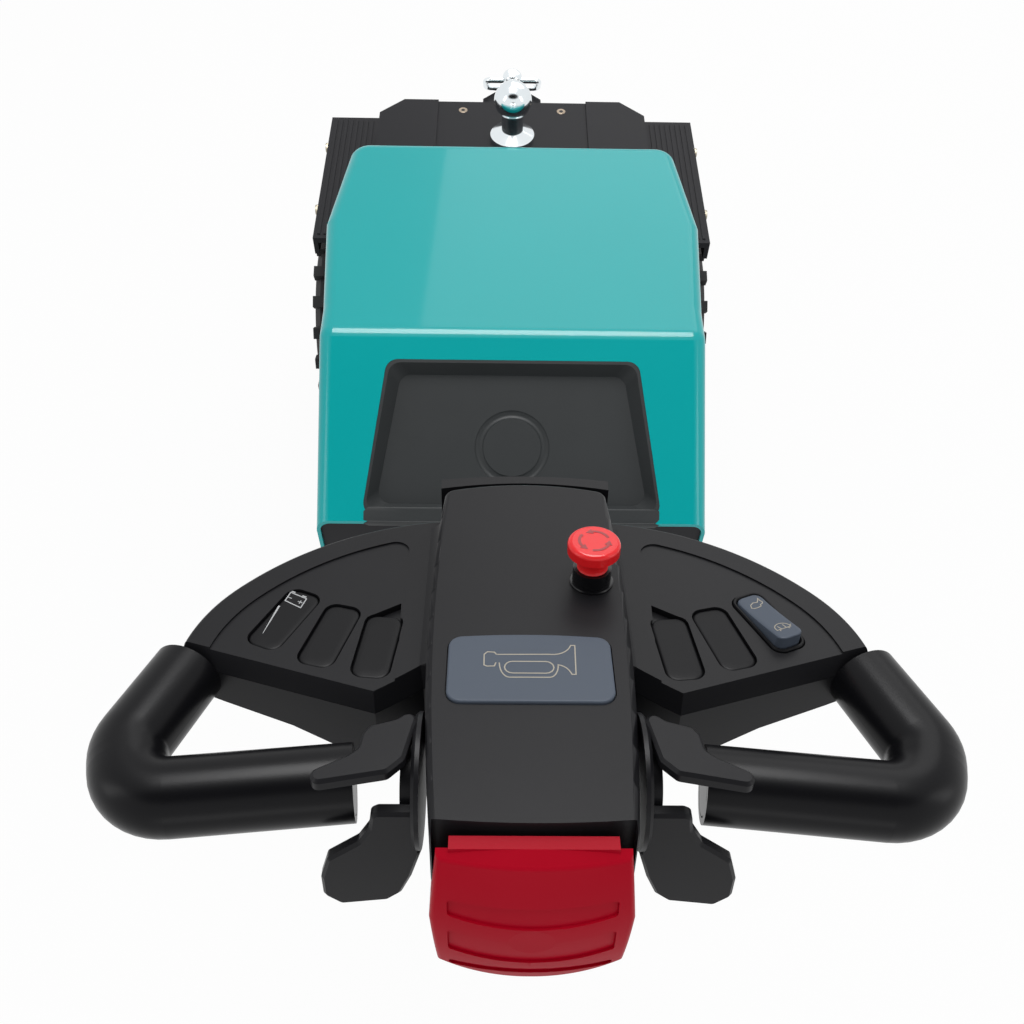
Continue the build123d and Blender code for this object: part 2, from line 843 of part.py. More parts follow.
def panel_cut():
    """What sinks the right wing's switch panel inside its rim band."""
    across = wing_half - rim_band
    along = wing_far_root - rim_band
    rows = [tuple((across * x, along * y) for x, y in row) for row in wing_rim_shares]
    inner = rows[-1][-1][0]
    tip = (across, along * wing_near_shares[-1][0][1])
    edges = trace(
        (inner, -overrun), [((across, -overrun),), (tip,)] + rows + [((inner, -overrun),)]
    )
    beside = Pos(panel_start + wing_half, 0, 0) * Rectangle(2 * wing_half, 4 * wing_half)
    face = make_face(Curve() + edges) & beside
    far = [spot for spot in face.vertices() if abs(spot.X - panel_start) < seat_gap and spot.Y > 0]
    face = fillet(far, panel_corner)
    return Pos(0, 0, -lid_drop - panel_recess) * extrude(face, amount=overrun)


def spine_face(grow):
    near = spine_near - grow
    far = spine_far + grow
    half = spine_half + grow
    near_half = half * spine_near_share
    far_half = half * spine_far_share
    sag = spine_corner * near_sag_share
    edges = trace((0, near), [
        ((near_half / 2, near + sag / 4), (near_half, near + sag)),
        ((half, far * spine_wide_share), (far_half, far - spine_corner)),
        ((far_half / 2, far - spine_corner / 4), (0, far)),
    ])
    face = both_halves(edges)
    far_corners = [spot for spot in face.vertices() if spot.Y > wing_far_root * 0.9 and spot.X]
    face = fillet([spot for spot in far_corners if abs(spot.X) > half / 2], spine_corner)
    near_corners = [spot for spot in face.vertices() if spot.Y < 0 and abs(spot.X) > half / 2]
    return fillet(near_corners, spine_round)


def lid_notch():
    """What opens the spine's near end over the emergency button."""
    near = spine_near - overrun
    far = lid_notch_near + lid_notch_bow
    face = both_halves(trace((0, near), [
        ((lid_notch_half, near),), ((lid_notch_half, far),),
        ((lid_notch_half / 2, lid_notch_near + lid_notch_bow / 4), (0, lid_notch_near)),
    ]))
    return Pos(0, 0, -lid_split - overrun) * extrude(face, amount=lid_split + 2 * overrun)


def cove(side):
    """The hollow curve between the spine's side and a wing."""
    foot = spine_half - spine_round
    low = -lid_drop - seat_gap
    rise = low + cove_size
    near = wing_far_root * wing_near_shares[0][0][1]
    inner = side * (foot - cove_size)
    wall = side * foot
    outer = side * (foot + cove_size)
    bend = side * (foot + cove_size - cove_size * cos(pi / 4))
    edges = Curve() + [
        Line((inner, near, rise), (wall, near, rise)),
        ThreePointArc(
            (wall, near, rise), (bend, near, rise - cove_size * sin(pi / 4)), (outer, near, low)
        ),
        Line((outer, near, low), (inner, near, low)),
        Line((inner, near, low), (inner, near, rise)),
    ]
    return extrude(make_face(edges), amount=wing_far_root - spine_corner - near, dir=(0, 1, 0))


def horn_face(grow):
    half = horn_half + grow
    near = horn_near - grow
    far = horn_far + grow
    face = both_halves(trace((0, near), [
        ((half, near),), ((half, far - horn_crown),), ((half / 2, far - horn_crown / 4), (0, far)),
    ]))
    corners = [spot for spot in face.vertices() if abs(spot.X) > half / 2]
    return fillet(corners, horn_corner + grow)


def head_lid():
    spine = extrude(spine_face(0), amount=lid_split, dir=(0, 0, -1))
    spine = fillet(spine.faces().sort_by(Axis.Z)[-1].edges(), spine_round)
    wings = wing_slab()
    rims = [
        edge for edge in wings.faces().sort_by(Axis.Z)[-1].edges()
        if edge.center().Y > wing_far_root * wing_near_shares[-1][0][1]
    ]
    wings = fillet(rims, rim_round)
    recess = panel_cut()
    wings -= recess + flip(recess)
    lid = wings + spine + cove(1) + cove(-1) - lid_notch()
    lid -= Pos(0, 0, -horn_height) * extrude(horn_face(seat_gap * 2), amount=overrun)
    for row in switch_rows:
        lid -= switch_slot(*row, seat_gap, -lid_drop - switch_depth, overrun)
    for side in (1, -1):
        corner = Polyline(*[
            (side * wing_half * across, wing_far_root * along, -lid_drop - switch_depth)
            for across, along in well_corner_shares
        ], close=True)
        lid -= extrude(make_face(corner), amount=overrun, dir=(0, 0, 1))
    return head_plane * lid


def switch_slot(across, along, turn, grow, z0, z1):
    shape = RectangleRounded(switch_width + 2 * grow, switch_length + 2 * grow, switch_corner + grow)
    return Pos(across, along, z0) * Rot(0, 0, turn) * extrude(shape, amount=z1 - z0)


def switch_piece(row, height):
    base = -lid_drop - switch_depth
    return head_plane * switch_slot(*row, 0, base, base + height)


def wing_housing():
    """The band and keel under the wings, deeper towards the spine."""
    parting = wing_slab().faces().sort_by(Axis.Z)[0]
    deepest = housing_depth_rows[-1][1]
    body = extrude(parting, amount=deepest, dir=(0, 0, -1))
    body &= span(-2 * wing_half, 2 * wing_half, spine_near, lip_along, -deepest, -lid_split - seat_gap)
    section = mirrored(
        [(wing_half * housing_depth_rows[0][0], overrun)]
        + [(wing_half * share, -depth) for share, depth in housing_depth_rows]
    )
    face = make_face(Polyline(*[(x, spine_near, z) for x, z in section], close=True))
    return body & extrude(face, amount=lip_along - spine_near, dir=(0, 1, 0))


def head_housing():
    top = -lid_split - seat_gap
    deep = -belly_drop + belly_ledge
    middle = (housing_near + spine_far) / 2
    body = wing_housing()
    body += prism_x(
        [
            (housing_near, top), (housing_near, deep), (middle, deep + belly_ledge),
            (lip_along, -housing_depth_rows[1][1]), (lip_along, top),
        ],
        -housing_half, housing_half,
    )
    body += lip()
    body = head_plane * body
    length = arm_length()
    outer = RectangleRounded(arm_width + 2 * neck_wall, arm_depth + 2 * neck_wall, arm_depth / 4)
    neck = arm_plane * (Pos(0, 0, length - neck_length) * extrude(outer, amount=1.5 * neck_length))
    neck -= head_plane * span(
        -wing_half, wing_half, spine_near, lip_along + overrun, top, overrun
    )
    bore = RectangleRounded(
        arm_width + 2 * seat_gap, arm_depth + 2 * seat_gap, arm_depth / 4 + seat_gap
    )
    socket = arm_plane * (
        Pos(0, 0, length - neck_length - overrun) * extrude(bore, amount=2 * neck_length + overrun)
    )
    socket -= head_plane * span(
        -wing_half, wing_half, spine_near, lip_along + overrun,
        -lid_split - 2 * plate + seat_gap, overrun,
    )
    return body + neck - socket


def lip():
    """The raised bar along the head's far edge, a dark gap behind the lid."""
    face = both_halves(trace((0, spine_far + lip_gap), [
        ((lip_half / 2, spine_far + lip_gap * 0.6), (lip_half, spine_far - lip_gap / 2)),
        ((lip_half, lip_along - lip_gap),),
        ((lip_half / 2, lip_along - lip_gap / 4), (0, lip_along)),
    ]))
    foot = -lid_split - lid_drop / 2
    return Pos(0, 0, foot) * extrude(face, amount=-foot - lip_thickness / 2)


def grip():
    """A round tube from under the wing, out and back to its free end beside the paddle."""
    corners = [
        (grip_outer_half * across, wing_far_root * along, -grip_drop)
        for across, along in grip_corner_shares
    ]
    path = FilletPolyline(*corners, radius=grip_bend)
    section = Plane(origin=path @ 0, z_dir=path % 0) * Circle(grip_radius)
    tube = sweep(section, path=path)
    tube -= Pos(*corners[-1]) * Rot(0, 90, 0) * (
        Cylinder(grip_cap_radius + seat_gap * 2, 2 * grip_cap_depth)
        - Cylinder(grip_cap_radius, 2 * grip_cap_depth)
    )
    edge = wing_near_shares[-2][-1]
    tip = wing_near_shares[-1][0]
    spread = (lid_split - lid_drop) * tan(radians(rim_slope)) + seat_gap
    start = (wing_half * edge[0], wing_far_root * edge[1] - spread)
    end = (wing_half * tip[0], wing_far_root * tip[1] - spread)
    slope = (end[1] - start[1]) / (end[0] - start[0])
    beyond = [
        (start[0], start[1]), (end[0] + overrun, end[1] + slope * overrun),
        (end[0] + overrun, spine_far), (start[0], spine_far),
    ]
    return head_plane * (tube - prism_z(beyond, -2 * overrun, overrun))


def horn_button():
    shape = extrude(horn_face(0), amount=horn_height * 1.5)
    shape = fillet(shape.faces().sort_by(Axis.Z)[-1].edges(), horn_height / 3)
    return head_plane * (Pos(0, 0, -horn_height) * shape)


def stop_collar():
    return head_plane * (Pos(stop_across, stop_along, 0) * Cylinder(
        stop_collar_radius, stop_collar_radius, align=(Align.CENTER, Align.CENTER, Align.MIN)
    ))


def stop_knob():
    """A stem that flares to a flat round cap."""
    rows = [
        tuple((stop_knob_radius * out, stop_collar_radius * (1 + up)) for out, up in row)
        for row in stop_profile_shares
    ]
    foot = (0, rows[0][0][1])
    edges = trace(foot, rows + [((0, rows[-1][-1][1]),), (foot,)])
    knob = Rot(90, 0, 0) * revolve(make_face(Curve() + edges), axis=Axis.Y)
    return head_plane * (Pos(stop_across, stop_along, 0) * knob)


def soft_plate(face, direction):
    """A thin plate with rounded corners and softened edges on both faces."""
    face = fillet(face.vertices(), paddle_corner)
    plate_solid = extrude(face, amount=paddle_blade, dir=direction)
    ends = plate_solid.faces().sort_by(Axis(face.center(), direction))
    return chamfer(ends[0].edges() + ends[-1].edges(), paddle_round)


def paddle():
    """A hub disc with a thumb blade on top and a finger blade below."""
    near = spine_half - seat_gap * 3
    hub = rod(
        (near, paddle_along, -paddle_drop), (near + paddle_hub_thickness, paddle_along, -paddle_drop),
        paddle_hub_radius,
    )
    hub = chamfer(hub.edges().group_by(Axis.X)[-1], paddle_round)
    hub += rod(
        (near, paddle_along, -paddle_drop), (near + paddle_boss_length, paddle_along, -paddle_drop),
        paddle_hub_radius - paddle_boss_radius,
    )
    size = paddle_hub_radius
    upper = make_face(Polyline(*[
        (near + out * size, paddle_along + along * size, -paddle_blade)
        for out, along in upper_blade_shares
    ], close=True))
    lower = make_face(Polyline(*[
        (near + out * size, paddle_along - size * lower_blade_share, -paddle_drop + up * size)
        for out, up in lower_blade_shares
    ], close=True))
    return head_plane * (hub + soft_plate(upper, (0, 0, 1)) + soft_plate(lower, (0, 1, 0)))


def belly_front_face():
    """The emergency button seen from the operator's side."""
    rows = [
        tuple((belly_half * across, -belly_drop * down) for across, down in row)
        for row in belly_outline_shares
    ]
    return Plane.XZ * both_halves(trace((0, rows[0][0][1]), rows))


def belly_form():
    """The button: its side swung about an upright line behind it, cut to its front outline."""
    deep = housing_near - seat_gap
    front = belly_front
    swing = belly_half ** 2 / (2 * belly_bow) + belly_bow / 2
    brow = (0, front + belly_bevel_foot, -belly_top - belly_bevel_drop)
    chin = (0, front + belly_ledge, -belly_drop)
    side = Curve() + [
        Line((0, deep, -belly_top), (0, front + belly_bevel_top, -belly_top)),
        Line((0, front + belly_bevel_top, -belly_top), brow),
        ThreePointArc(brow, (0, front, -belly_drop / 2), chin),
        Line(chin, (0, deep, -belly_drop)),
        Line((0, deep, -belly_drop), (0, deep, -belly_top)),
    ]
    body = revolve(make_face(side), axis=Axis((0, front + swing, 0), (0, 0, 1)))
    outline = extrude(belly_front_face(), amount=deep - front, dir=(0, 1, 0))
    return body & Pos(0, front, 0) * outline


def bow_line(end, middle, half):
    """A level line bowed down in the middle, from its middle to its right end."""
    between = -middle + (middle - end) / 4
    return ThreePointArc((0, 0, -middle), (half / 2, 0, between), (half, 0, -end))


def belly_band(shares):
    """What a band's outline covers on the button's front."""
    upper_end, upper_middle, lower_end, lower_middle = [belly_drop * share for share in shares]
    half = belly_band_half
    face = both_halves([
        bow_line(upper_end, upper_middle, half),
        Line((half, 0, -upper_end), (half, 0, -lower_end)),
        bow_line(lower_end, lower_middle, half),
    ])
    ends = [spot for spot in face.vertices() if abs(abs(spot.X) - half) < seat_gap]
    face = fillet(ends, belly_band_round)
    reach = overrun + (housing_near - belly_front) / 2
    return Pos(0, belly_front - overrun, 0) * extrude(face, amount=reach, dir=(0, 1, 0))


def belly_button():
    """The form with softened edges, bands sunk into its front and a ledge under the lid."""
    form = belly_form()
    front = [edge for edge in form.edges() if edge.center().Y < belly_front + 2.5 * belly_ledge]
    form = fillet(front, belly_round)
    body = form
    for shares in belly_band_shares:
        band = belly_band(shares)
        body = body - band + (band & Pos(0, belly_band_depth, 0) * form)
    body -= Pos(0, 0, -lid_split - seat_gap) * extrude(
        spine_face(4 * seat_gap), amount=lid_split + overrun
    )
    body += span(
        -belly_ledge_half, belly_ledge_half, belly_front + belly_bevel_top,
        lid_notch_near - belly_ledge_gap, -belly_top - belly_ledge_height, -belly_top,
    )
    return head_plane * body


def make_all():
    parts["frame_pan"] = frame_pan()
    parts["rear_frame"] = rear_frame()
    parts["battery_block"] = battery_block()
    parts["transaxle"] = transaxle()
    parts["drive_motor"] = drive_motor()
    parts["hitch_deck"] = hitch_deck()
    parts["tow_ball"] = tow_ball()
    parts["coupling_jaw"] = coupling_jaw()
    parts["hitch_pin"] = hitch_pin()
    parts["pin_handle"] = pin_handle()
    parts["hood"] = hood()
    parts["storage_tray"] = storage_tray()
    parts["nose_panel"] = nose_panel()
    pairs = [
        ("fender", fender), ("rim", rim), ("tyre", tyre), ("castor_mount", castor_mount),
        ("castor_fork", castor_fork), ("castor_axle", castor_axle), ("castor_wheel", castor_wheel),
        ("grip", grip), ("paddle", paddle),
    ]
    for name, make in pairs:
        right = make()
        parts[name + "_right"] = right
        parts[name + "_left"] = flip(right)
    parts["tiller_bracket"] = tiller_bracket()
    parts["tiller_pin"] = tiller_pin()
    parts["tiller_arm"] = tiller_arm()
    parts["head_housing"] = head_housing()
    parts["head_lid"] = head_lid()
    parts["horn_button"] = horn_button()
    parts["stop_collar"] = stop_collar()
    parts["stop_knob"] = stop_knob()
    parts["belly_button"] = belly_button()
    parts["gauge_window"] = switch_piece(switch_rows[2], switch_depth / 2)
    parts["rocker_switch"] = switch_piece(switch_rows[5], switch_depth * 1.4)
    blanks = [switch_piece(switch_rows[index], switch_depth / 2) for index in (0, 1, 3, 4)]
    parts["switch_blanks"] = Compound(children=blanks)


make_all()
os.makedirs("parts", exist_ok=True)
for name, piece in parts.items():
    export_step(piece, f"parts/{name}.step")
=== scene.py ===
# %% [markdown]
# # Electric tow tractor
# A walk-behind tow tractor, seen over the top of its tiller head. The CAD nodes carry every true
# shape and size. This script gives each of them its finish, adds the small parts that only show,
# such as bolts, soft-edged pads and printed symbols, and sets one camera at the photograph's
# place.

import json

import bpy
import numpy as np
from mathutils import Matrix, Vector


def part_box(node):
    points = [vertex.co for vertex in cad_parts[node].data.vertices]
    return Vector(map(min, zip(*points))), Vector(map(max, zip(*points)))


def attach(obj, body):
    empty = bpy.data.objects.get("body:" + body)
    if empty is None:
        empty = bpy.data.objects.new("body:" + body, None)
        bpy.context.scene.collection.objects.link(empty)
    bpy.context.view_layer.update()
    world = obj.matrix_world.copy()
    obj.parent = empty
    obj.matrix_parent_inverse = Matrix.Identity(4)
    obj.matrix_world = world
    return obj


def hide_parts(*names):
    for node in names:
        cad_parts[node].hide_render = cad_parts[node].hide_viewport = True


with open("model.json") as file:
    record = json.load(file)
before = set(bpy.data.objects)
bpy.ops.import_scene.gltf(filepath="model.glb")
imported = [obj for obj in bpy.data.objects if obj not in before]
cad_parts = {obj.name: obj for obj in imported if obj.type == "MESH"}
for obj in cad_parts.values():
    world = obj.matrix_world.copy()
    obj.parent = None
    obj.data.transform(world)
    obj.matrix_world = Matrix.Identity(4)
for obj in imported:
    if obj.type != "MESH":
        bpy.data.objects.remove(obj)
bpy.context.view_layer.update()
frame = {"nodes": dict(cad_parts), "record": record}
nodes = frame["nodes"]
millimetre = 0.001

# %% [markdown]
# The camera stands where the photographer stood: over the operator's side, looking steeply down
# past the tiller head. Its place was found by fitting a pinhole camera to the machine's corners,
# so it is written as a real position, three turns and a lens. A long lens from further off would
# have flattened the machine, and the tiller head would not have looked so large.

# %% Camera
camera_place = np.array([-0.01649, -0.74984, 1.27715])
camera_pitch, camera_yaw, camera_roll = np.radians([54.48, 1.44, -1.71])
lens_pixels, frame_pixels, sensor_mm = 1050.0, 1024.0, 36.0
nearest_seen = 0.02


def camera_axes(pitch, yaw, roll):
    """Right, up and backward axes: look along +Y, tip down by pitch, turn by yaw, then roll."""
    forward = np.array([np.sin(yaw) * np.cos(pitch), np.cos(yaw) * np.cos(pitch), -np.sin(pitch)])
    right = np.array([np.cos(yaw), -np.sin(yaw), 0.0])
    down = np.cross(forward, right)
    rolled_right = np.cos(roll) * right + np.sin(roll) * down
    rolled_down = -np.sin(roll) * right + np.cos(roll) * down
    return rolled_right, -rolled_down, -forward


view_axes = camera_axes(camera_pitch, camera_yaw, camera_roll)
camera_data = bpy.data.cameras.new("studio_camera")
camera_data.sensor_width = sensor_mm
camera_data.lens = lens_pixels / frame_pixels * sensor_mm
camera_data.clip_start = nearest_seen
camera = bpy.data.objects.new("studio_camera", camera_data)
bpy.context.scene.collection.objects.link(camera)
camera_matrix = np.eye(4)
camera_matrix[:3, :3] = np.array(view_axes).T
camera_matrix[:3, 3] = camera_place
camera.matrix_world = Matrix(camera_matrix.tolist())
bpy.context.scene.camera = camera
bpy.context.scene.view_settings.view_transform = "Standard"
print("lens in mm:", round(camera_data.lens, 2))

# %% [markdown]
# A studio is a few soft boxes. The wide one beyond the hitch leans over the hood, and the hood's
# gloss paint mirrors its edge. The box overhead gives most of the light. Beside it hangs one that
# is only seen in mirrors and lights nothing: it draws the bright line along the hood's ridge. The
# boxes behind the operator and to the sides lift the tiller head and the wheels.

# %% Lamps
# name: place, point aimed at, width, height, power in watts
soft_boxes = {
    "far_box": ((0.95, 2.60, 2.40), (0.35, 0.25, 0.44), 2.5, 1.9, 22.0),
    "top_box": ((0.0, 0.15, 3.00), (0.0, 0.10, 0.40), 1.2, 1.0, 22.0),
    "mirrored_box": ((0.0, 0.70, 3.00), (0.0, 0.10, 0.44), 1.4, 1.4, 82.0),
    "left_box": ((-2.30, -0.90, 1.80), (0.0, -0.4, 0.7), 0.6, 1.4, 6.0),
    "right_box": ((2.30, -0.90, 1.80), (0.0, -0.4, 0.7), 0.6, 1.4, 6.0),
    "low_box": ((0.0, -2.60, 0.9), (0.0, -0.5, 0.6), 1.4, 0.5, 3.0),
}


def aim(place, target):
    """A matrix whose backward axis points from the target to the place, with up along Z."""
    back = np.array(place) - np.array(target)
    back = back / np.linalg.norm(back)
    side = np.cross([0.0, 0.0, 1.0], back)
    side = side / np.linalg.norm(side)
    matrix = np.eye(4)
    matrix[:3, :3] = np.stack([side, np.cross(back, side), back], axis=1)
    matrix[:3, 3] = place
    return Matrix(matrix.tolist())


for name, (place, target, width, height, power) in soft_boxes.items():
    lamp = bpy.data.lights.new(name, "AREA")
    lamp.shape = "RECTANGLE"
    lamp.size = width
    lamp.size_y = height
    lamp.energy = power
    holder = bpy.data.objects.new(name, lamp)
    holder.matrix_world = aim(place, target)
    holder.visible_diffuse = name != "mirrored_box"
    holder.visible_glossy = name != "top_box"
    bpy.context.scene.collection.objects.link(holder)
print("soft boxes:", len(soft_boxes))

# %% [markdown]
# The picture has a white ground, but a world that lights with full white would wash the blacks out.
# So two kinds of ray get two shaders. The Light Path node tells whether a ray comes from the
# camera, a mirror or glass, and a Mix Shader takes that as its share. These helpers build such a
# mix in any node tree.

# %% Rays that see, and a mix of two shaders
def seen_rays(tree, share):
    """A socket that is `share` for rays from the camera, a mirror or glass, and 0 for the rest."""
    path = tree.nodes.new("ShaderNodeLightPath")
    total = path.outputs["Is Camera Ray"]
    for ray in ("Is Glossy Ray", "Is Transmission Ray"):
        both = tree.nodes.new("ShaderNodeMath")
        both.operation = "MAXIMUM"
        tree.links.new(total, both.inputs[0])
        tree.links.new(path.outputs[ray], both.inputs[1])
        total = both.outputs[0]
    part = tree.nodes.new("ShaderNodeMath")
    part.operation = "MULTIPLY"
    part.inputs[1].default_value = share
    tree.links.new(total, part.inputs[0])
    return part.outputs[0]


def emptied(owner):
    """The node tree of a new world or material, without the nodes that it starts with."""
    owner.use_nodes = True
    owner.node_tree.nodes.clear()
    return owner.node_tree


def show_mix(tree, share, first, second, output):
    """Lead a mix of two shaders to the output: `share` is the second one's part of it."""
    blend = tree.nodes.new("ShaderNodeMixShader")
    tree.links.new(share, blend.inputs[0])
    tree.links.new(first.outputs[0], blend.inputs[1])
    tree.links.new(second.outputs[0], blend.inputs[2])
    tree.links.new(blend.outputs[0], tree.nodes.new(output).inputs["Surface"])


print("node helpers:", [helper.__name__ for helper in (seen_rays, emptied, show_mix)])

# %% [markdown]
# The world is grey as a light, but where the camera or a mirror looks past the machine it is white.
# The grey leaves the shaping of the machine to the soft boxes.

# %% World
white = (1.0, 1.0, 1.0, 1.0)
sky_strengths = {"lights": 0.54, "seen": 1.0}
world = bpy.data.worlds.new("studio")
bpy.context.scene.world = world
tree = emptied(world)
skies = {use: tree.nodes.new("ShaderNodeBackground") for use in sky_strengths}
for use, sky in skies.items():
    sky.inputs["Color"].default_value = white
    sky.inputs["Strength"].default_value = sky_strengths[use]
show_mix(tree, seen_rays(tree, 1.0), skies["lights"], skies["seen"], "ShaderNodeOutputWorld")
print("world strengths:", sky_strengths)

# %% [markdown]
# The floor has no edge in the photograph: it melts into the white ground. Here it is a wide matt
# sheet that also glows for the rays that see it. The share of glow is a little under one, and the
# rest is matt, which keeps a breath of the machine's shadow.

# %% Floor
floor_half, floor_grey, floor_glow_share = 6.0, (0.86, 0.86, 0.86, 1.0), 0.94
floor_corners = [(x * floor_half, y * floor_half, 0) for x, y in ((-1, -1), (1, -1), (1, 1), (-1, 1))]
floor_mesh = bpy.data.meshes.new("studio_floor")
floor_mesh.from_pydata(floor_corners, [], [(0, 1, 2, 3)])
floor = bpy.data.objects.new("studio_floor", floor_mesh)
bpy.context.scene.collection.objects.link(floor)
floor_paint = bpy.data.materials.new("floor_white")
tree = emptied(floor_paint)
matt = tree.nodes.new("ShaderNodeBsdfDiffuse")
matt.inputs["Color"].default_value = floor_grey
glow = tree.nodes.new("ShaderNodeEmission")
glow.inputs["Strength"].default_value = 1.0
show_mix(tree, seen_rays(tree, floor_glow_share), matt, glow, "ShaderNodeOutputMaterial")
floor_mesh.materials.append(floor_paint)
print("floor:", 2 * floor_half, "m across")

# %% [markdown]
# A photographer keeps gloss paint deep by hanging a black flag where it would mirror something
# pale. The hood's slope mirrors the place above the operator, so the flag hangs there. It is only
# seen in reflections: it throws no shadow and takes no light away. Its cloth thins out from the
# middle to the edges, so that no hard square shows in the ball.

# %% Black flag
flag_place, flag_target, flag_half = (0.0, -1.15, 2.60), (0.0, 0.0, 0.40), (2.0, 0.95)
full_thickness_from = 0.5
flag_mesh = bpy.data.meshes.new("studio_flag")
flag_corners = np.array([[-1, -1, 0, 1], [1, -1, 0, 1], [1, 1, 0, 1], [-1, 1, 0, 1]], dtype=float)
flag_spread = flag_corners[:, :2].copy()
flag_corners[:, :2] *= flag_half
flag_corners = flag_corners @ np.array(aim(flag_place, flag_target)).T
flag_mesh.from_pydata(flag_corners[:, :3].tolist(), [], [(0, 1, 2, 3)])
flag_mesh.uv_layers.new(name="spread").data.foreach_set("uv", flag_spread.ravel())
flag = bpy.data.objects.new("studio_flag", flag_mesh)
bpy.context.scene.collection.objects.link(flag)
flag.visible_camera = flag.visible_diffuse = flag.visible_shadow = flag.visible_transmission = False
flag_cloth = bpy.data.materials.new("flag_black")
tree = emptied(flag_cloth)
spread = tree.nodes.new("ShaderNodeUVMap")
spread.uv_map = "spread"
fade = tree.nodes.new("ShaderNodeTexGradient")
fade.gradient_type = "SPHERICAL"
tree.links.new(spread.outputs["UV"], fade.inputs["Vector"])
thick = tree.nodes.new("ShaderNodeMapRange")
thick.interpolation_type = "SMOOTHSTEP"
thick.inputs["From Max"].default_value = full_thickness_from
tree.links.new(fade.outputs["Fac"], thick.inputs["Value"])
clear = tree.nodes.new("ShaderNodeBsdfTransparent")
black = tree.nodes.new("ShaderNodeBsdfDiffuse")
black.inputs["Color"].default_value = (0, 0, 0, 1)
show_mix(tree, thick.outputs["Result"], clear, black, "ShaderNodeOutputMaterial")
flag_mesh.materials.append(flag_cloth)
print("flag corners:", np.round(flag_corners[:, :3], 2).tolist())

# %% [markdown]
# Moulded plastic, powder coat and cast metal all have a fine grain. One node group makes it: a
# noise of a given size, mixed with a coarser one, gives a height. Each material feeds that height
# to its own Bump node, with its own depth.

# %% Grain, a shared group
fine_octaves, wide_octaves, wide_share = 2.0, 3.0, 0.25


def new_group(name, sockets):
    """A shader node group with named inputs and outputs: (name, direction, kind, default)."""
    group = bpy.data.node_groups.new(name, "ShaderNodeTree")
    for label, direction, kind, value in sockets:
        socket = group.interface.new_socket(name=label, in_out=direction, socket_type=kind)
        if value is not None:
            socket.default_value = value
    return group, group.nodes.new("NodeGroupInput"), group.nodes.new("NodeGroupOutput")


grain, source, sink = new_group("moulded_grain", [
    ("Size", "INPUT", "NodeSocketFloat", 900.0),
    ("Coarse", "INPUT", "NodeSocketFloat", 60.0),
    ("Height", "OUTPUT", "NodeSocketFloat", None),
])
coordinates = grain.nodes.new("ShaderNodeTexCoord")
fine = grain.nodes.new("ShaderNodeTexNoise")
wide = grain.nodes.new("ShaderNodeTexNoise")
for noise, size, octaves in ((fine, "Size", fine_octaves), (wide, "Coarse", wide_octaves)):
    noise.inputs["Detail"].default_value = octaves
    grain.links.new(coordinates.outputs["Object"], noise.inputs["Vector"])
    grain.links.new(source.outputs[size], noise.inputs["Scale"])
total = grain.nodes.new("ShaderNodeMath")
total.operation = "MULTIPLY_ADD"
total.inputs[1].default_value = wide_share
grain.links.new(wide.outputs["Fac"], total.inputs[0])
grain.links.new(fine.outputs["Fac"], total.inputs[2])
grain.links.new(total.outputs[0], sink.inputs["Height"])
print("group:", grain.name, "sockets:", [socket.name for socket in grain.interface.items_tree])

# %% [markdown]
# A clean machine still isn't one flat colour: dust and handling change its tone and polish a
# little from spot to spot. The second group gives a colour and a roughness that drift a little
# around the plain ones, from a slow noise.

# %% Drift of colour and roughness, a shared group
cloud_octaves, cloud_roughness = 5.0, 0.6
drift, source, sink = new_group("surface_drift", [
    ("Dark", "INPUT", "NodeSocketColor", (0, 0, 0, 1)),
    ("Pale", "INPUT", "NodeSocketColor", (1, 1, 1, 1)),
    ("Low", "INPUT", "NodeSocketFloat", 0.3),
    ("High", "INPUT", "NodeSocketFloat", 0.4),
    ("Size", "INPUT", "NodeSocketFloat", 7.0),
    ("Color", "OUTPUT", "NodeSocketColor", None),
    ("Roughness", "OUTPUT", "NodeSocketFloat", None),
])
coordinates = drift.nodes.new("ShaderNodeTexCoord")
cloud = drift.nodes.new("ShaderNodeTexNoise")
cloud.inputs["Detail"].default_value = cloud_octaves
cloud.inputs["Roughness"].default_value = cloud_roughness
drift.links.new(coordinates.outputs["Object"], cloud.inputs["Vector"])
drift.links.new(source.outputs["Size"], cloud.inputs["Scale"])
tint = drift.nodes.new("ShaderNodeMix")
tint.data_type = "RGBA"
drift.links.new(cloud.outputs["Fac"], tint.inputs["Factor"])
drift.links.new(source.outputs["Dark"], tint.inputs["A"])
drift.links.new(source.outputs["Pale"], tint.inputs["B"])
level = drift.nodes.new("ShaderNodeMapRange")
drift.links.new(cloud.outputs["Fac"], level.inputs["Value"])
drift.links.new(source.outputs["Low"], level.inputs["To Min"])
drift.links.new(source.outputs["High"], level.inputs["To Max"])
drift.links.new(tint.outputs["Result"], sink.inputs["Color"])
drift.links.new(level.outputs["Result"], sink.inputs["Roughness"])
print("group:", drift.name, "sockets:", [socket.name for socket in drift.interface.items_tree])

# %% [markdown]
# Every finish is then one row: two near colours, two near roughnesses, how metallic it is, the
# grain's size and depth, and how much it mirrors. The hood's gloss paint and the wheels' rims have
# a clear coat too. A table was chosen because near materials, such as the many black plastics, can
# be compared and tuned side by side.

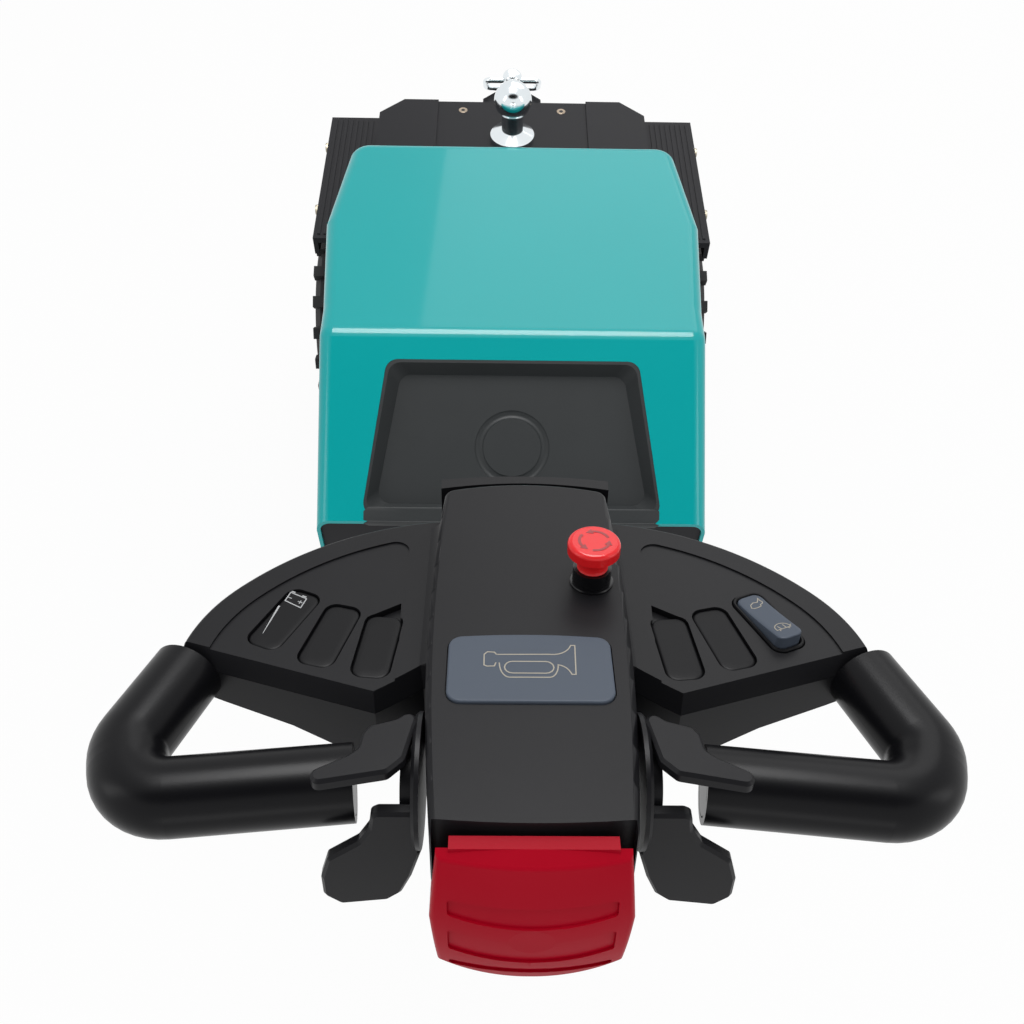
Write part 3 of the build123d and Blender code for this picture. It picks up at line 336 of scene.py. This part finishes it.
# %% Finishes
# dark colour, pale colour, lowest and highest roughness, metallic, grains per metre, grain depth
# in mm, specular level
finishes = {
    "teal_paint": ((0.000, 0.375, 0.385), (0.001, 0.395, 0.405), 0.26, 0.32, 0.0, 700, 0.002, 0.1),
    "black_powder_coat": ((0.009, 0.009, 0.011), (0.015, 0.015, 0.018), 0.38, 0.48, 0.0, 1400, 0.02, 0.12),
    "chassis_paint": ((0.010, 0.010, 0.012), (0.016, 0.016, 0.018), 0.36, 0.46, 0.0, 1100, 0.015, 0.3),
    "ribbed_cover": ((0.008, 0.008, 0.010), (0.014, 0.014, 0.017), 0.50, 0.60, 0.0, 1200, 0.03, 0.16),
    "zinc_plate": ((0.70, 0.76, 0.79), (0.86, 0.90, 0.92), 0.10, 0.18, 1.0, 500, 0.003, 0.5),
    "tyre_rubber": ((0.008, 0.008, 0.009), (0.017, 0.017, 0.018), 0.60, 0.74, 0.0, 900, 0.05, 0.3),
    "castor_tread": ((0.060, 0.060, 0.064), (0.085, 0.085, 0.09), 0.5, 0.62, 0.0, 900, 0.03, 0.4),
    "rim_paint": ((0.27, 0.28, 0.29), (0.34, 0.35, 0.36), 0.34, 0.44, 0.0, 900, 0.01, 0.5),
    "cast_axle": ((0.050, 0.050, 0.054), (0.085, 0.085, 0.09), 0.5, 0.62, 0.4, 350, 0.20, 0.5),
    "motor_steel": ((0.040, 0.040, 0.044), (0.060, 0.060, 0.065), 0.4, 0.5, 0.0, 800, 0.03, 0.5),
    "battery_plastic": ((0.050, 0.050, 0.054), (0.070, 0.070, 0.075), 0.5, 0.6, 0.0, 900, 0.04, 0.4),
    "tray_plastic": ((0.020, 0.023, 0.024), (0.030, 0.034, 0.036), 0.44, 0.54, 0.0, 1500, 0.03, 0.3),
    "head_plastic": ((0.007, 0.007, 0.008), (0.013, 0.013, 0.015), 0.32, 0.42, 0.0, 1600, 0.03, 0.13),
    "grip_plastic": ((0.003, 0.003, 0.004), (0.006, 0.006, 0.007), 0.26, 0.34, 0.0, 1500, 0.02, 0.14),
    "switch_plastic": ((0.005, 0.005, 0.006), (0.009, 0.009, 0.010), 0.34, 0.44, 0.0, 1600, 0.02, 0.1),
    "horn_blue": ((0.068, 0.084, 0.112), (0.082, 0.100, 0.130), 0.36, 0.44, 0.0, 1600, 0.02, 0.14),
    "stop_red": ((0.76, 0.010, 0.014), (0.84, 0.016, 0.020), 0.20, 0.28, 0.0, 900, 0.008, 0.35),
    "stop_black": ((0.004, 0.004, 0.005), (0.008, 0.008, 0.009), 0.16, 0.24, 0.0, 900, 0.01, 0.3),
    "arrow_red": ((0.28, 0.004, 0.008), (0.34, 0.006, 0.010), 0.30, 0.40, 0.0, 900, 0.01, 0.5),
    "belly_red": ((0.36, 0.000, 0.010), (0.44, 0.002, 0.017), 0.34, 0.42, 0.0, 1500, 0.025, 0.07),
    "zinc_steel": ((0.44, 0.45, 0.47), (0.58, 0.59, 0.60), 0.28, 0.40, 1.0, 600, 0.02, 0.5),
    "yellow_zinc": ((0.30, 0.27, 0.21), (0.42, 0.38, 0.30), 0.30, 0.42, 1.0, 700, 0.01, 0.5),
    "bronze_ring": ((0.20, 0.16, 0.12), (0.28, 0.23, 0.18), 0.36, 0.48, 1.0, 700, 0.01, 0.5),
    # painted shade: near black, for the hollow of the deck screws' hexagon sockets, laid flat on the screws
    "painted_socket_shade": ((0.006, 0.006, 0.007), (0.012, 0.012, 0.013), 0.5, 0.6, 0.0, 900, 0.01, 0.3),
    "print_beige": ((0.34, 0.31, 0.25), (0.40, 0.37, 0.31), 0.45, 0.55, 0.0, 900, 0.002, 0.3),
    "print_grey": ((0.40, 0.41, 0.42), (0.48, 0.49, 0.50), 0.45, 0.55, 0.0, 900, 0.002, 0.4),
}
# weight and roughness of the clear coat
coats = {"teal_paint": (0.5, 0.05), "rim_paint": (0.3, 0.2)}
no_coat = (0.0, 0.1)
print("finishes in the table:", len(finishes), "with a clear coat:", len(coats))

# %% [markdown]
# A small function turns a row into a material around one Principled shader. The plain numbers go
# straight to its sockets, and the two groups feed colour, roughness and relief. Each CAD node
# then gets the finish that its record names.

# %% Materials
built = {}


def finish(name):
    """A material from one row of the finishes, built once and then reused."""
    if name in built:
        return built[name]
    dark, pale, low, high, metal, size, depth, specular = finishes[name]
    coat, coat_roughness = coats.get(name, no_coat)
    material = built[name] = bpy.data.materials.new(f"{name}_finish")
    material.use_nodes = True
    tree = material.node_tree
    shader = tree.nodes["Principled BSDF"]
    shader.inputs["Metallic"].default_value = metal
    shader.inputs["Coat Weight"].default_value = coat
    shader.inputs["Coat Roughness"].default_value = coat_roughness
    shader.inputs["Specular IOR Level"].default_value = specular
    mix = tree.nodes.new("ShaderNodeGroup")
    mix.node_tree = drift
    mix.inputs["Dark"].default_value = (*dark, 1.0)
    mix.inputs["Pale"].default_value = (*pale, 1.0)
    mix.inputs["Low"].default_value = low
    mix.inputs["High"].default_value = high
    tree.links.new(mix.outputs["Color"], shader.inputs["Base Color"])
    tree.links.new(mix.outputs["Roughness"], shader.inputs["Roughness"])
    relief = tree.nodes.new("ShaderNodeGroup")
    relief.node_tree = grain
    relief.inputs["Size"].default_value = size
    bump = tree.nodes.new("ShaderNodeBump")
    bump.inputs["Strength"].default_value = 1.0
    bump.inputs["Distance"].default_value = depth * millimetre
    tree.links.new(relief.outputs["Height"], bump.inputs["Height"])
    tree.links.new(bump.outputs["Normal"], shader.inputs["Normal"])
    return material


slot_of = {row["node"]: row["material_slot"] for row in frame["record"]["subparts"]}
for name, node in nodes.items():
    for spot in node.material_slots:
        spot.material = finish(slot_of[name])
print("finishes used:", len(built), "on", len(nodes), "nodes")

# %% [markdown]
# Small parts are closed skins. A skin is a block of rings, `rings[i, j]`, laid from one end of the
# part to the other, and a few makers give every ring: a turned profile, a hexagon head or a rounded
# pad. Whole arrays go into each mesh, with no loop over its points.

# %% Makers of rings
# points on a rounded ring, the radius in mm that closes a turned face, and the shares of a pad's
# outline at which rings are drawn in to close its face
ring_points = 72
closing_radius = 0.1
face_shares = np.array([0.75, 0.5, 0.25, 0.02])


def turned(profile, sides=48, across_flats=None):
    """Rings about +Z from rows of (radius, height). With flats, a hexagon limits each radius:
    half the width across flats divided by the cosine of the angle from the nearest flat."""
    radius, height = np.array(profile, dtype=float).T
    angle = np.linspace(0, 2 * np.pi, sides, endpoint=False)
    reach = np.repeat(radius[:, None], sides, axis=1)
    if across_flats:
        from_flat = (angle + np.pi / 6) % (np.pi / 3) - np.pi / 6
        reach = np.minimum(reach, across_flats / 2 / np.cos(from_flat))
    return np.stack([reach * np.cos(angle), reach * np.sin(angle),
                     np.repeat(height[:, None], sides, axis=1)], axis=-1)


def rounded(half_x, half_y, corner):
    """A rounded rectangle: points spread evenly round the sharp one, each pulled to within a
    corner's radius of the smaller rectangle inside."""
    sharp = np.array([[1, -1], [1, 1], [-1, 1], [-1, -1], [1, -1]]) * [half_x, half_y]
    run = np.append(0, np.cumsum(np.linalg.norm(np.diff(sharp, axis=0), axis=1)))
    half_step = run[-1] / ring_points / 2
    at = np.linspace(0, run[-1], ring_points, endpoint=False) + half_step
    spot = np.stack([np.interp(at, run, sharp[:, 0]), np.interp(at, run, sharp[:, 1])], axis=-1)
    core = np.clip(spot, [corner - half_x, corner - half_y], [half_x - corner, half_y - corner])
    away = spot - core
    return core + corner * away / np.linalg.norm(away, axis=1, keepdims=True)


def pad(half_x, half_y, corner, rows, top=None):
    """Rings of a rounded pad from rows of (inset, height). The corner shrinks with the inset, to a
    fifth at least. The face is closed by rings drawn in towards the middle, and `top(y)` adds a
    height that changes along the pad."""
    insets, heights = np.array(rows, dtype=float).T
    outer = [rounded(half_x - inset, half_y - inset, max(corner - inset, corner / 5)) for inset in insets]
    rings = np.stack(outer + [outer[-1] * share for share in face_shares])
    level = np.append(heights, np.repeat(heights[-1], len(face_shares)))[:, None] + 0 * rings[..., 0]
    if top is not None:
        level[1:] += top(rings[1:, :, 1])
    return np.concatenate([rings, level[..., None]], axis=-1)


print("ring makers:", [maker.__name__ for maker in (turned, rounded, pad)])

# %% [markdown]
# A part is built in its own millimetres and then put where it sits: its +Z turns to the way it
# faces, and its +Y to the direction that is up the part. The tiller head has its own sloping
# plane, the same as in the part's source, so its small parts are given across, along and up.

# %% Placing
head_place = np.array([0.0, -0.546, 0.839])
head_slope = np.radians(17.4)
head_along = np.array([0.0, np.cos(head_slope), -np.sin(head_slope)])
head_up = np.array([0.0, np.sin(head_slope), np.cos(head_slope)])


def placed(rings, origin, faces, along):
    """Local millimetres to world metres: z goes along `faces`, y as near as it can to `along`."""
    up = np.array(faces, dtype=float) / np.linalg.norm(faces)
    side = np.cross(along, up)
    side = side / np.linalg.norm(side)
    return np.array(origin) + millimetre * rings @ np.stack([side, np.cross(up, side), up])


def on_head(rings, across=0.0, along=0.0, up=0.0, turn=0.0):
    """Local millimetres to the world, on the head's plane, turned by degrees about its up axis."""
    turn = np.radians(turn)
    spin = np.array([[np.cos(turn), np.sin(turn), 0], [-np.sin(turn), np.cos(turn), 0], [0, 0, 1]])
    moved = rings @ spin + [across, along, up]
    return head_place + millimetre * moved @ np.stack([np.array([1.0, 0, 0]), head_along, head_up])


print("head plane at", head_place.tolist())

# %% [markdown]
# One function makes every piece. It joins the rings with quads, turns the skin so that its normals
# face out, shades it smooth between its sharp edges, gives it a finish and lets it ride a body, so
# that a bolt on a wheel turns with the wheel.

# %% Building
def make(name, skins, material, body, slot=None, joined=False, sharp=32.0):
    """One object from closed skins. Quads join ring i to i + 1 and point j to j + 1; the end
    rings are filled, or joined to each other. A skin whose volume is negative is turned over."""
    corners, faces, start = [], [], 0
    for rings in skins:
        rows, count = rings.shape[:2]
        index = np.arange(rows * count).reshape(rows, count)
        near, far = (index, np.roll(index, -1, 0)) if joined else (index[:-1], index[1:])
        quads = np.stack([near, np.roll(near, -1, 1), np.roll(far, -1, 1), far], -1).reshape(-1, 4)
        flat = rings.reshape(-1, 3)
        a, b, c, d = (flat[quads[:, k]] - flat.mean(0) for k in range(4))
        volume = (np.cross(a, b) * c).sum() + (np.cross(a, c) * d).sum()
        loops = quads.tolist() + ([] if joined else [index[0][::-1].tolist(), index[-1].tolist()])
        faces += [[start + k for k in (loop if volume > 0 else loop[::-1])] for loop in loops]
        corners.append(flat)
        start += rows * count
    mesh = bpy.data.meshes.new(name)
    mesh.from_pydata(np.concatenate(corners).tolist(), [], faces)
    mesh.polygons.foreach_set("use_smooth", np.ones(len(mesh.polygons), dtype=bool))
    mesh.set_sharp_from_angle(angle=np.radians(sharp))
    mesh.materials.append(finish(material))
    piece = bpy.data.objects.new(name, mesh)
    bpy.context.scene.collection.objects.link(piece)
    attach(piece, body)
    return piece


print("builder:", make.__name__)

# %% [markdown]
# Hexagon flange bolts clamp the mudguards' side flanges. A bolt head is forged: a round flange, a
# hexagon above it, and a chamfer that cuts the hexagon's corners where the turned top meets them.
# All heads are one profile, so sizes follow from the thread's. The castors' plates hang from the
# chassis by the same bolts, four to a plate, with their heads below.

# %% Bolts
bolt_thread = 8.0
fender_bolt_places, fender_bolt_height = (0.401, 0.537), 0.3595
castor_plate, castor_bolt_inset = 0.006, 0.012


def bolt_head(thread):
    """Rings of a flange bolt's head for a thread in millimetres, from its seat up."""
    flats, flange, height = 1.62 * thread, 2.2 * thread, 0.68 * thread
    sunk, flange_edge, flange_top = 0.3, 0.1 * thread, 0.2 * thread
    chamfer_start, chamfer_end = height - 0.16 * thread, height - 0.05 * thread
    shoulder, chamfered, crown, centre = 0.62 * flats, 0.52 * flats, 0.45 * flats, 0.02 * flats
    foot = turned([(flange / 2, -sunk), (flange / 2, flange_edge), (shoulder, flange_top)])
    body = turned([(flats, flange_top), (flats, chamfer_start), (chamfered, chamfer_end),
                   (crown, height), (centre, height)], across_flats=flats)
    return [foot, body]


def heads(thread, spots, faces, along):
    """Bolt heads at several places in metres, all facing one way."""
    return [placed(ring, spot, faces, along) for spot in spots for ring in bolt_head(thread)]


for side, sign in (("right", 1), ("left", -1)):
    low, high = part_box(f"fender_{side}")
    face = high[0] if sign > 0 else low[0]
    spots = [(face, along, fender_bolt_height) for along in fender_bolt_places]
    make(f"fender_bolts_{side}", heads(bolt_thread, spots, (sign, 0, 0), (0, 0, 1)), "yellow_zinc",
         "chassis", "zinc_steel")
    low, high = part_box(f"castor_mount_{side}")
    spots = [(x, y, high[2] - castor_plate)
             for x in (low[0] + castor_bolt_inset, high[0] - castor_bolt_inset)
             for y in (low[1] + castor_bolt_inset, high[1] - castor_bolt_inset)]
    make(f"castor_bolts_{side}", heads(bolt_thread, spots, (0, 0, -1), (0, 1, 0)), "zinc_steel",
         "chassis", "zinc_steel")
print("bolt heads:", 2 * (len(fender_bolt_places) + len(spots)))

# %% [markdown]
# The deck plate is held by countersunk screws, flush with the steel. Only their ring and the socket in it
# show, so each is a low cone with a shallow dish. The socket is not cut: a flat near-black hexagon in the
# dish is painted shade for its hollow.

# %% Deck screws
deck_top, screw_along, screw_across = 0.401, 0.570, 0.069
screw_radius, screw_rim, socket_flats = 6.2, 0.5, 5.0
seat, edge, crown, bowl, socket_top = -0.4, 0.15, 0.45, 0.30, 0.36
ring_profile = [(0.8 * screw_radius, seat), (screw_radius, edge), (screw_radius - screw_rim, crown),
                (0.7 * socket_flats, bowl), (closing_radius, bowl)]
socket_profile = [(socket_flats, 0.0), (socket_flats, socket_top), (closing_radius, socket_top)]
screw_places = [(sign * screw_across, screw_along, deck_top) for sign in (-1, 1)]
ring, socket = turned(ring_profile), turned(socket_profile, across_flats=socket_flats)
make("deck_screws", [placed(ring, spot, (0, 0, 1), (0, 1, 0)) for spot in screw_places],
     "bronze_ring", "chassis", "zinc_steel")
# painted shade: a flat near-black hexagon on each screw stands for the dark inside of its socket
make("deck_socket_painted_shade", [placed(socket, spot, (0, 0, 1), (0, 1, 0)) for spot in screw_places],
     "painted_socket_shade", "chassis", "zinc_steel")
print("deck screws at", screw_places)

# %% [markdown]
# Five studs clamp each drive wheel to its hub, their nuts on a circle on the pressed disc. They
# have the same profile as the bolts, for a thicker thread, and ride the wheel that they hold.

# %% Wheel nuts
nut_thread, disc_half, stud_circle, stud_count = 12.0, 0.006, 0.058, 5
first_stud = 90.0
stud_angles = np.radians(first_stud + 360 / stud_count * np.arange(stud_count))
for side, sign in (("right", 1), ("left", -1)):
    low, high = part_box(f"tyre_{side}")
    middle = (np.array(low) + high) / 2
    spots = [(middle[0] + sign * disc_half, middle[1] + stud_circle * np.cos(angle),
              middle[2] + stud_circle * np.sin(angle)) for angle in stud_angles]
    make(f"wheel_nuts_{side}", heads(nut_thread, spots, (sign, 0, 0), (0, 0, 1)), "zinc_steel",
         f"wheel_{side}", "zinc_steel")
print("wheel nuts:", 2 * stud_count)

# %% [markdown]
# The tow ball is forged and then turned, so it is the finest surface on the machine and mirrors
# everything. Its profile runs up the flange, the neck and then the ball's arc, and many small steps
# keep the reflections free of facets. It stands in for the CAD ball at the same sizes.

# %% Tow ball
ball_low, ball_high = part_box("tow_ball")
foot, top = ball_low[2] / millimetre, ball_high[2] / millimetre
flange_radius, flange_height, neck_radius, ball_radius, edge_round = 30.0, 7.0, 14.5, 25.0, 0.5
ball_steps, ball_sides, ball_sharp, near_pole = 48, 96, 25.0, np.radians(89.6)
ball_centre = top - ball_radius
flange_top, shoulder = foot + flange_height, foot + 2 * flange_height
sweep = np.linspace(-np.arccos(neck_radius / ball_radius), near_pole, ball_steps)
ball_rows = [
    (closing_radius, foot), (flange_radius - edge_round, foot), (flange_radius, foot + edge_round),
    (flange_radius, flange_top - edge_round), (flange_radius - edge_round, flange_top),
    (neck_radius + edge_round, shoulder - edge_round), (neck_radius, shoulder),
    *zip(ball_radius * np.cos(sweep), ball_centre + ball_radius * np.sin(sweep)),
]
ball_middle = ((ball_low[0] + ball_high[0]) / 2, (ball_low[1] + ball_high[1]) / 2, 0.0)
ball_skin = placed(turned(ball_rows, ball_sides), ball_middle, (0, 0, 1), (0, 1, 0))
ball = make("tow_ball_turned", [ball_skin], "zinc_plate", "chassis", "zinc_plate", sharp=ball_sharp)
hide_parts("tow_ball")
print("ball rows:", len(ball_rows), "centre height in mm:", round(ball_centre, 1))

# %% [markdown]
# The tray is one moulding that reaches down over the last few millimetres of the hood's slope and
# over its front edge, to the nose. Two slim strips do that here: one on the slope's plane, one down
# the front. They are too thin to be worth a form in the CAD model.

# %% Tray lip
slope_foot, slope_rise = np.array([0.0, -0.089, 0.331]), np.radians(33.39)
up_slope = np.array([0.0, np.cos(slope_rise), np.sin(slope_rise)])
off_slope = np.array([0.0, -np.sin(slope_rise), np.cos(slope_rise)])
lip_half_x, lip_half_y, lip_middle, lip_corner = 162.6, 8.0, 7.8, 0.4
front_half_y, front_middle = 4.2, (0.0, -0.0891, 0.3276)
lip_rows = [(0.0, -0.2), (0.0, 0.35), (0.3, 0.5)]
on_slope = placed(pad(lip_half_x, lip_half_y, lip_corner, lip_rows),
                  slope_foot + millimetre * lip_middle * up_slope, off_slope, up_slope)
on_front = placed(pad(lip_half_x, front_half_y, lip_corner, lip_rows),
                  front_middle, (0, -1, 0), (0, 0, 1))
make("tray_front_lip", [on_slope, on_front], "tray_plastic", "chassis", "tray_plastic")
print("lip:", 2 * lip_half_x, "by", 2 * lip_half_y, "mm")

# %% [markdown]
# Each wing has three wells for switches. Unused ones hold a soft-edged blank, the left outermost
# holds the battery gauge, and the right outermost a speed rocker. On the CAD side they are plain
# slabs: here a pad's rings follow the same rounded rectangle, and its edge rolls over.

# %% Blanks and gauge window
well_half_x, well_half_y, well_corner, well_floor = 9.7, 22.7, 6.2, -27.0
# across, along and turn in degrees, from the spine outwards
well_rows = ((77.0, 63.13, 6.0), (102.38, 70.47, 15.0), (127.75, 82.5, 24.0))
left_wells, right_wells = [[(side * across, along, side * turn) for across, along, turn in well_rows]
                           for side in (-1, 1)]
gauge_well, rocker_well = left_wells[-1], right_wells[-1]
blank_wells = left_wells[:-1] + right_wells[:-1]
pad_rows = [(0.0, 0.0), (0.0, 2.1), (0.25, 2.7), (0.8, 3.1), (1.6, 3.3)]
pad_rings = pad(well_half_x, well_half_y, well_corner, pad_rows)


def in_well(rings, well):
    """Rings put on one well's floor, turned as the well is."""
    across, along, turn = well
    return on_head(rings, across, along, well_floor, turn)


blanks = make("switch_blank_pads", [in_well(pad_rings, well) for well in blank_wells],
              "switch_plastic", "tiller")
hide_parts("switch_blanks")
gauge = make("gauge_window_pad", [in_well(pad_rings, gauge_well)], "switch_plastic", "tiller")
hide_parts("gauge_window")
print("wells:", [[round(v, 1) for v in well] for well in left_wells + right_wells])

# %% [markdown]
# The speed rocker sits in a raised frame. Its face is one shallow valley: the near end stands
# higher, so height rises with the power 1.5 of the distance from the far end.

# %% Speed rocker
rocker_half_x, rocker_half_y, rocker_corner = 7.5, 20.2, 4.5
rocker_rise, rocker_power = 6.3, 1.5
rocker_rows = [(0.0, 0.0), (0.0, 5.0), (0.3, 5.5), (0.9, 5.8), (1.8, 5.9)]
# half width, half length, corner radius and height of the frame's rings, up outside and down inside
frame_sections = ((9.7, 22.7, 6.2, 0.0), (9.7, 22.7, 6.2, 4.6), (9.2, 22.2, 5.7, 5.3),
                  (8.5, 21.4, 5.2, 5.3), (7.9, 20.8, 4.8, 4.6), (7.9, 20.8, 4.8, 0.0))


def valley(y):
    """Height of the rocker's face along its length: the rise times the power of the distance from
    the far end, as a share of the length."""
    reach = np.clip((rocker_half_y - y) / (2 * rocker_half_y), 0.0, 1.0)
    return rocker_rise * reach ** rocker_power


frame_rings = np.stack([
    np.concatenate([rounded(half_x, half_y, corner), np.full((ring_points, 1), height)], axis=1)
    for half_x, half_y, corner, height in frame_sections])
rocker_rings = pad(rocker_half_x, rocker_half_y, rocker_corner, rocker_rows, valley)
make("rocker_frame", [in_well(frame_rings, rocker_well)], "switch_plastic", "tiller", joined=True)
rocker = make("rocker_body", [in_well(rocker_rings, rocker_well)], "horn_blue", "tiller")
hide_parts("rocker_switch")
print("rocker rises by", round(float(valley(-rocker_half_y)), 1), "mm")

# %% [markdown]
# Symbols are printed lines. A line is a ribbon with four sides, about a tenth of a millimetre thick,
# laid along its path and mitred at the corners, so it stays as crisp as print in any close view.
# A texture would need a picture and would blur there.

# %% Lines of print
line_width, ink = 0.6, 0.12
sharpest = 0.5


def line_band(points, width, lift, closed=False):
    """Four-sided rings along a flat path, mitred at its corners: half the width to each side
    along the bisector, divided by the cosine of half the turn. That cosine is taken as `sharpest`
    at least, so that a tight corner grows no spike."""
    path = np.array(points, dtype=float)
    step = (np.roll(path, -1, 0) - path) if closed else np.diff(path, axis=0)
    step = step / np.linalg.norm(step, axis=1, keepdims=True)
    before, after = (np.roll(step, 1, 0), step) if closed else (
        np.vstack([step[:1], step]), np.vstack([step, step[-1:]]))
    turn = before + after
    turn = turn / np.linalg.norm(turn, axis=1, keepdims=True)
    side = np.stack([-turn[:, 1], turn[:, 0]], axis=1)
    side *= (np.reshape(width, (-1, 1)) / 2) / np.maximum((turn * after).sum(1, keepdims=True), sharpest)
    low, high = np.zeros((len(path), 1)), np.full((len(path), 1), lift)
    return np.stack([np.hstack([path + side, low]), np.hstack([path + side, high]),
                     np.hstack([path - side, high]), np.hstack([path - side, low])], axis=1)


def arc(centre, radii, start, end, count=9):
    """Points on an ellipse's arc: the centre plus each radius times the cosine or sine of the
    angle, in degrees."""
    angle = np.radians(np.linspace(start, end, count))
    return np.stack([centre[0] + radii[0] * np.cos(angle), centre[1] + radii[1] * np.sin(angle)], 1)


print("a line of print is", line_width, "mm wide and", ink, "mm thick")

# %% [markdown]
# The horn button carries the outline of a horn, bell to the right, with the long slot of its tube
# inside. Its round stretches are arcs of ellipses, joined by straight lines.

# %% Horn symbol
horn_top = 1.5
bell = np.concatenate([
    [(-15.6, 32.3), (8.0, 32.6)], arc((11.0, 41.0), (9.0, 8.5), 275, 335, 6),
    [(19.7, 38.7), (21.7, 38.7), (21.3, 19.6), (19.5, 19.5)],
    arc((12.0, 17.8), (7.4, 8.0), 25, 80, 6), arc((9.0, 25.7), (4.2, 8.1), 0, -88, 8),
    [(-9.8, 17.5)], arc((-9.8, 27.2), (4.8, 9.7), 268, 182, 8),
])
mouth = [(-16.2, 26.9), (-16.9, 24.7), (-20.4, 24.5), (-21.8, 25.3), (-21.8, 32.3), (-20.3, 34.0),
         (-16.9, 33.8), (-15.9, 32.2)]
slot_line = np.concatenate([arc((7.3, 24.0), (3.8, 3.8), 90, -90),
                            arc((-8.3, 24.0), (3.8, 3.8), 270, 90)])
make("horn_symbol", [on_head(line_band(line, line_width, ink), up=horn_top) for line in (bell, mouth)],
     "print_beige", "tiller", "horn_blue")
make("horn_symbol_slot", [on_head(line_band(slot_line, line_width, ink, closed=True), up=horn_top)],
     "print_beige", "tiller", "horn_blue", joined=True)
print("horn symbol points:", len(bell) + len(mouth) + len(slot_line))

# %% [markdown]
# The gauge shows a battery with its two terminals, a plus and a minus, and the tapering line of its
# charge. The taper is the same ribbon with a width for each of its points.

# %% Gauge symbols
gauge_top = well_floor + pad_rows[-1][1]
thin_line, thick_line = 0.5, 0.8
widest, narrowest, taper_steps = 1.1, 0.25, 8
battery = [(-127.9, 103.9), (-118.6, 98.8), (-120.7, 91.6), (-129.9, 97.2)]
terminals = [[(-127.6, 104.9), (-125.4, 103.7)], [(-121.1, 101.2), (-118.9, 100.0)]]
plus_and_minus = [[(-128.6, 99.9), (-126.6, 99.0)], [(-122.9, 96.6), (-120.4, 95.4)],
                  [(-121.3, 97.2), (-122.0, 94.8)]]
charge_start, charge_end = (-132.3, 93.0), (-137.2, 71.8)
make("gauge_symbol_frame", [on_head(line_band(battery, line_width, ink, closed=True), up=gauge_top)],
     "print_grey", "tiller", "head_plastic", joined=True)
strokes = [(line, thick_line) for line in terminals] + [(line, thin_line) for line in plus_and_minus]
strokes.append((np.linspace(charge_start, charge_end, taper_steps),
                np.linspace(widest, narrowest, taper_steps)))
make("gauge_symbols", [on_head(line_band(line, width, ink), up=gauge_top) for line, width in strokes],
     "print_grey", "tiller", "head_plastic")
print("lines on the gauge:", 1 + len(strokes))

# %% [markdown]
# The rocker has the two usual speed signs: a hare's outline at the far end for fast, a tortoise's
# shell at the near end for slow. The face bends, so each point of a line is lifted by the valley's
# height under it.

# %% Rocker symbols
def on_rocker(points, closed=False):
    """A printed line on the rocker's face: its height follows the valley under each point."""
    rings = line_band(points, thin_line, ink, closed)
    rings[..., 2] += valley(rings[..., 1]) + rocker_rows[-1][1]
    return in_well(rings, rocker_well)


hare = [(-3.6, 10.2), (-2.6, 12.6), (-0.2, 13.8), (2.0, 13.2), (3.4, 14.6), (4.4, 16.4), (4.3, 13.9),
        (4.9, 12.4), (4.0, 11.3), (2.6, 11.0), (2.0, 9.6), (-0.4, 9.2), (-2.6, 9.4)]
shell = np.concatenate([arc((0.0, -11.4), (4.2, 3.6), 0, 180, 12), [(-4.2, -12.6), (4.2, -12.6)]])
shell_strokes = [[(-2.6, -12.7), (-2.9, -13.9)], [(2.4, -12.7), (2.8, -13.9)], [(4.2, -11.6), (5.5, -11.0)],
                 [(-2.0, -9.6), (-1.4, -12.4)], [(1.4, -9.2), (1.6, -12.4)]]
make("rocker_signs", [on_rocker(line, closed=True) for line in (hare, shell)], "print_beige", "tiller",
     "horn_blue", joined=True)
make("rocker_sign_strokes", [on_rocker(line) for line in shell_strokes], "print_beige", "tiller",
     "horn_blue")
print("lines on the rocker:", 2 + len(shell_strokes))

# %% [markdown]
# The stop button's cap carries a ring of three arrows that say which way to turn it free, and a
# slim ring closes the collar under it. An arrow is an arc and a spear: a short line whose width
# runs out to a point.

# %% Stop button
stop_across, stop_along, cap_top = 33.0, 88.0, 26.8
arrow_radius, arrow_width, arrow_ink, arrow_steps = 7.6, 1.5, 0.14, 14
arrow_starts, arrow_sweep, arrow_reach, spear_widths = (20, 140, 260), 74, 100, (4.0, 0.3)
collar_inner, collar_outer, collar_height, collar_chamfer = 9.6, 11.4, 1.4, 0.5
arrow_radii = (arrow_radius, arrow_radius)
arrow_bands = []
for start in arrow_starts:
    shaft = arc((0, 0), arrow_radii, start, start + arrow_sweep, arrow_steps)
    spear = arc((0, 0), arrow_radii, start + arrow_sweep, start + arrow_reach, 2)
    arrow_bands += [line_band(shaft, arrow_width, arrow_ink), line_band(spear, spear_widths, arrow_ink)]
make("stop_arrows", [on_head(band, stop_across, stop_along, cap_top) for band in arrow_bands],
     "arrow_red", "tiller", "stop_red")
collar_profile = [
    (collar_inner, 0.0), (collar_outer, 0.0), (collar_outer, collar_height - collar_chamfer),
    (collar_outer - collar_chamfer, collar_height), (collar_inner, collar_height)]
make("stop_collar_ring", [on_head(turned(collar_profile), stop_across, stop_along)], "stop_black",
     "tiller", "stop_black", joined=True)
print("arrows:", len(arrow_starts))

# %% [markdown]
# Each castor's axle is a plain rod through the fork, and a pressed cap closes it at both ends. A
# cap is a low turned disc with a chamfered edge, and it turns with its fork.

# %% Caps on the castor axles
cap_foot, cap_edge, cap_crown = -0.6, 0.5, 1.2
cap_profile = [(5.2, cap_foot), (8.6, cap_foot), (8.6, cap_edge), (7.6, cap_crown),
               (closing_radius, cap_crown)]
for side in ("right", "left"):
    axle_low, axle_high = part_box(f"castor_axle_{side}")
    middle = (np.array(axle_low) + axle_high) / 2
    caps = [placed(turned(cap_profile), (face, middle[1], middle[2]), (way, 0, 0), (0, 0, 1))
            for way, face in ((-1, axle_low[0]), (1, axle_high[0]))]
    make(f"castor_nuts_{side}", caps, "zinc_steel", f"castor_{side}", "zinc_steel")
print("castor axle caps:", 2 * len(caps))
